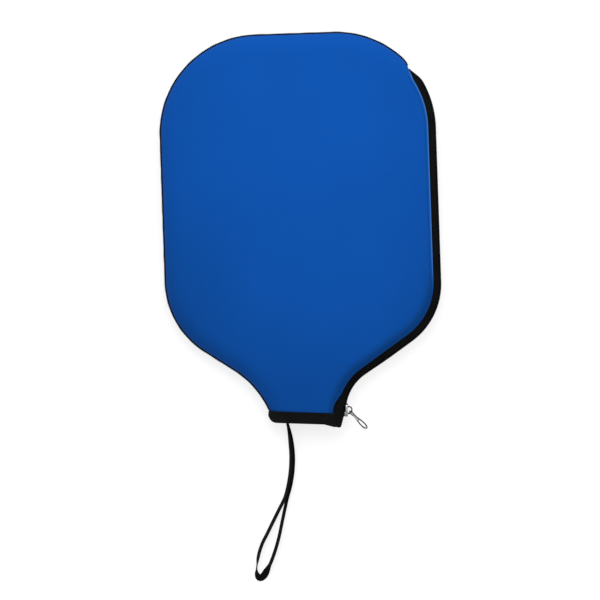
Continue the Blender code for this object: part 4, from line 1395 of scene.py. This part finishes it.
# %% A ring of the tab
def tab_ring(end, hole, low_z):
    """The ring between a hole (centre, half length, half width) and half the outline."""
    half = RIM_POINTS // 2 + 1
    x = TAB_DIVIDE + (end - TAB_DIVIDE) * np.sin(np.linspace(0, PI / 2, half))
    upper = np.stack([x, tab_half_width(x)], axis=1)
    lower = upper[::-1] * (1, -1)
    outline = np.concatenate([upper, lower[1:]])
    divide_y = np.linspace(-1, 1, DIVIDE_POINTS + 2)[1:-1] * tab_half_width(TAB_DIVIDE)
    divide = np.stack([np.full(DIVIDE_POINTS, TAB_DIVIDE), divide_y], axis=1)
    outer = np.concatenate([outline, divide])
    centre = np.array((hole[0], 0.0))
    angle = np.arctan2(outer[:, 1] / hole[2], (outer[:, 0] - centre[0]) / hole[1])
    inner = centre + np.stack([hole[1] * np.cos(angle), hole[2] * np.sin(angle)], axis=1)
    reach = np.array([0, 0.04, 0.14, 0.3, 0.5, 0.7, 0.86, 0.96, 1])[:, None]
    flat = inner[None] * (1 - reach[..., None]) + outer[None] * reach[..., None]
    from_hole = np.sqrt(1 - (1 - np.clip(reach / RIM_ROUND, 0, 1)) ** 2)
    from_rim = np.sqrt(1 - (1 - np.clip((1 - reach) / RIM_ROUND, 0, 1)) ** 2)
    on_rim = np.concatenate([np.ones(len(outline)), np.zeros(DIVIDE_POINTS)])
    rise = TAB_HALF_THICK * from_hole * (from_rim * on_rim + 1 - on_rim) * low_z
    # Shade is painted along the hole's rim and the outline's rim.
    near_hole = 1 - np.clip(reach / RIM_SHADE_SPREAD, 0, 1)
    near_edge = on_rim * (1 - np.clip((1 - reach) / RIM_SHADE_SPREAD, 0, 1))
    near_rim = np.maximum(near_hole, near_edge)
    return np.concatenate([flat, rise[..., None]], axis=-1), smooth(near_rim * 1.6)


# %% The tab
def in_tab(local):
    """Points given in the tab's axes, in mm, placed in the case's axes."""
    local = local * MM
    return tab_pivot + local[..., :1] * TAB_X + local[..., 1:2] * TAB_Y + local[..., 2:] * TAB_Z


tab_rings = [
    tab_ring(end, hole, low_z)
    for end, hole in ((TAB_START, EYE), (TAB_TIP, WINDOW))
    for low_z in (1, -1)
]
tab_parts = [grid_part(in_tab(points), wrap=True, rim=rim) for points, rim in tab_rings]
tab = make_piece("pull_tab_plate", tab_parts, PALE_PLATE, weld=True, smooth_angle=50)
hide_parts("pull_tab")
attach(tab, "pull")

# %% [markdown]
# ## The wrist strap
# One narrow ribbon runs out from the binding, turns a long thin loop and comes back.
# It stands on its edge on the floor and leans to one side; where it turns at the
# bottom it rolls over flat, so the lean goes on through 90 degrees. Its line is a
# smooth curve through a few places, its section a flat superellipse turned by the
# lean, and its height lets the lowest edge touch the floor.

# %% The strap's places
STRAP_ROUTE = np.array([
    (-15.9, -145.4), (-14.4, -157.0), (-13.55, -167.0), (-13.6, -176.0), (-14.6, -186.0),
    (-16.6, -196.0), (-19.2, -204.5), (-24.2, -213.8), (-29.0, -222.8), (-33.4, -231.1),
    (-37.4, -238.4), (-40.3, -246.0), (-42.0, -253.6), (-42.6, -260.0), (-41.0, -265.0),
    (-38.0, -264.4), (-35.2, -260.6), (-32.2, -255.0), (-29.4, -248.6), (-26.8, -241.4),
    (-24.4, -233.4), (-21.9, -223.1), (-19.4, -213.0), (-17.0, -203.8), (-14.4, -195.4),
    (-12.4, -185.8), (-11.4, -176.0), (-11.5, -167.0), (-12.7, -157.0), (-15.0, -145.4),
]) * MM


# %% The strap's line
def rounded_route(places, step):
    """Catmull-Rom: between p1 and p2, a cubic whose slopes there are (p2 - p0) / 2 and so on."""
    padded = np.concatenate([2 * places[:1] - places[1:2], places, 2 * places[-1:] - places[-2:-1]])
    t = np.linspace(0, 1, 12, endpoint=False)[None, :, None]
    p0, p1, p2, p3 = (padded[k:len(padded) - 3 + k, None] for k in range(4))
    curve = p1 + (p2 - p0) * t / 2 + (p0 - 2.5 * p1 + 2 * p2 - p3 / 2) * t**2
    curve = curve + (1.5 * (p1 - p2) + (p3 - p0) / 2) * t**3
    return evenly(np.concatenate([curve.reshape(-1, 2), places[-1:]]), step)


TURN_SHARE = 0.512
RIBBON_HALF_THICK = 0.42 * MM
RIBBON_HALF_WIDTH = 2.72 * MM
CLEARANCE = 0.03 * MM
route = rounded_route(STRAP_ROUTE, 0.8 * MM)
share = np.linspace(0, 1, len(route))
from_turn = (TURN_SHARE - share) / TURN_SHARE
off = np.abs(from_turn)

# The lean in degrees is 90 at the turn, 26 beside it, 23 past half way and 6 at the
# binding, with one place just before the turn where the ribbon stands nearly on edge.
tilt = 90 - 64 * smooth(off / 0.085) - 3 * smooth((off - 0.5) / 0.3)
tilt = tilt - 17 * smooth((off - 0.84) / 0.13)
tilt -= 22 * np.exp(-((from_turn - 0.098) / 0.035) ** 2)
lean = np.radians(np.where(from_turn > 0, tilt, 180 - tilt))
standing = (RIBBON_HALF_WIDTH + CLEARANCE) * np.abs(np.cos(lean))
lying = (RIBBON_HALF_THICK + CLEARANCE) * np.abs(np.sin(lean))
route = np.column_stack([route, 0.1 * MM + (standing + lying)])

# %% The strap's section
turn = np.linspace(0, TURN, 20, endpoint=False)
flat_side = RIBBON_HALF_THICK * power(np.cos(turn), 0.8)
tall_side = RIBBON_HALF_WIDTH * power(np.sin(turn), 0.75)
section = np.stack([
    flat_side * np.cos(lean)[:, None] - tall_side * np.sin(lean)[:, None],
    flat_side * np.sin(lean)[:, None] + tall_side * np.cos(lean)[:, None],
], axis=-1)
ribbon_points = carried(route, section, UP)
ribbon_grid = grid_part(ribbon_points, wrap=True, caps=True)
ribbon = make_piece("strap_ribbon", [ribbon_grid], RIBBON, smooth_angle=60)
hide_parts("wrist_strap")
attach(ribbon, "case")

# %% [markdown]
# ## Floor
# The floor is a plain white sheet that glows a little, which keeps the shadows
# light.

# %% Floor
FLOOR_HALF = 3.0
FLOOR_Z = -0.3 * MM
corners = [(FLOOR_HALF * x, FLOOR_HALF * y, FLOOR_Z) for x, y in ((-1, -1), (1, -1), (1, 1), (-1, 1))]
floor_mesh = bpy.data.meshes.new("floor")
floor_mesh.from_pydata(corners, [], [(0, 1, 2, 3)])
floor = bpy.data.objects.new("floor", floor_mesh)
bpy.context.scene.collection.objects.link(floor)
matt_white = Finish("floor_white", Roughness=0.9, Specular_IOR_Level=0.1,
                    Base_Color=(0.27, 0.27, 0.27, 1), Emission_Color=(1, 1, 1, 1),
                    Emission_Strength=0.76)
floor_mesh.materials.append(matt_white.material)
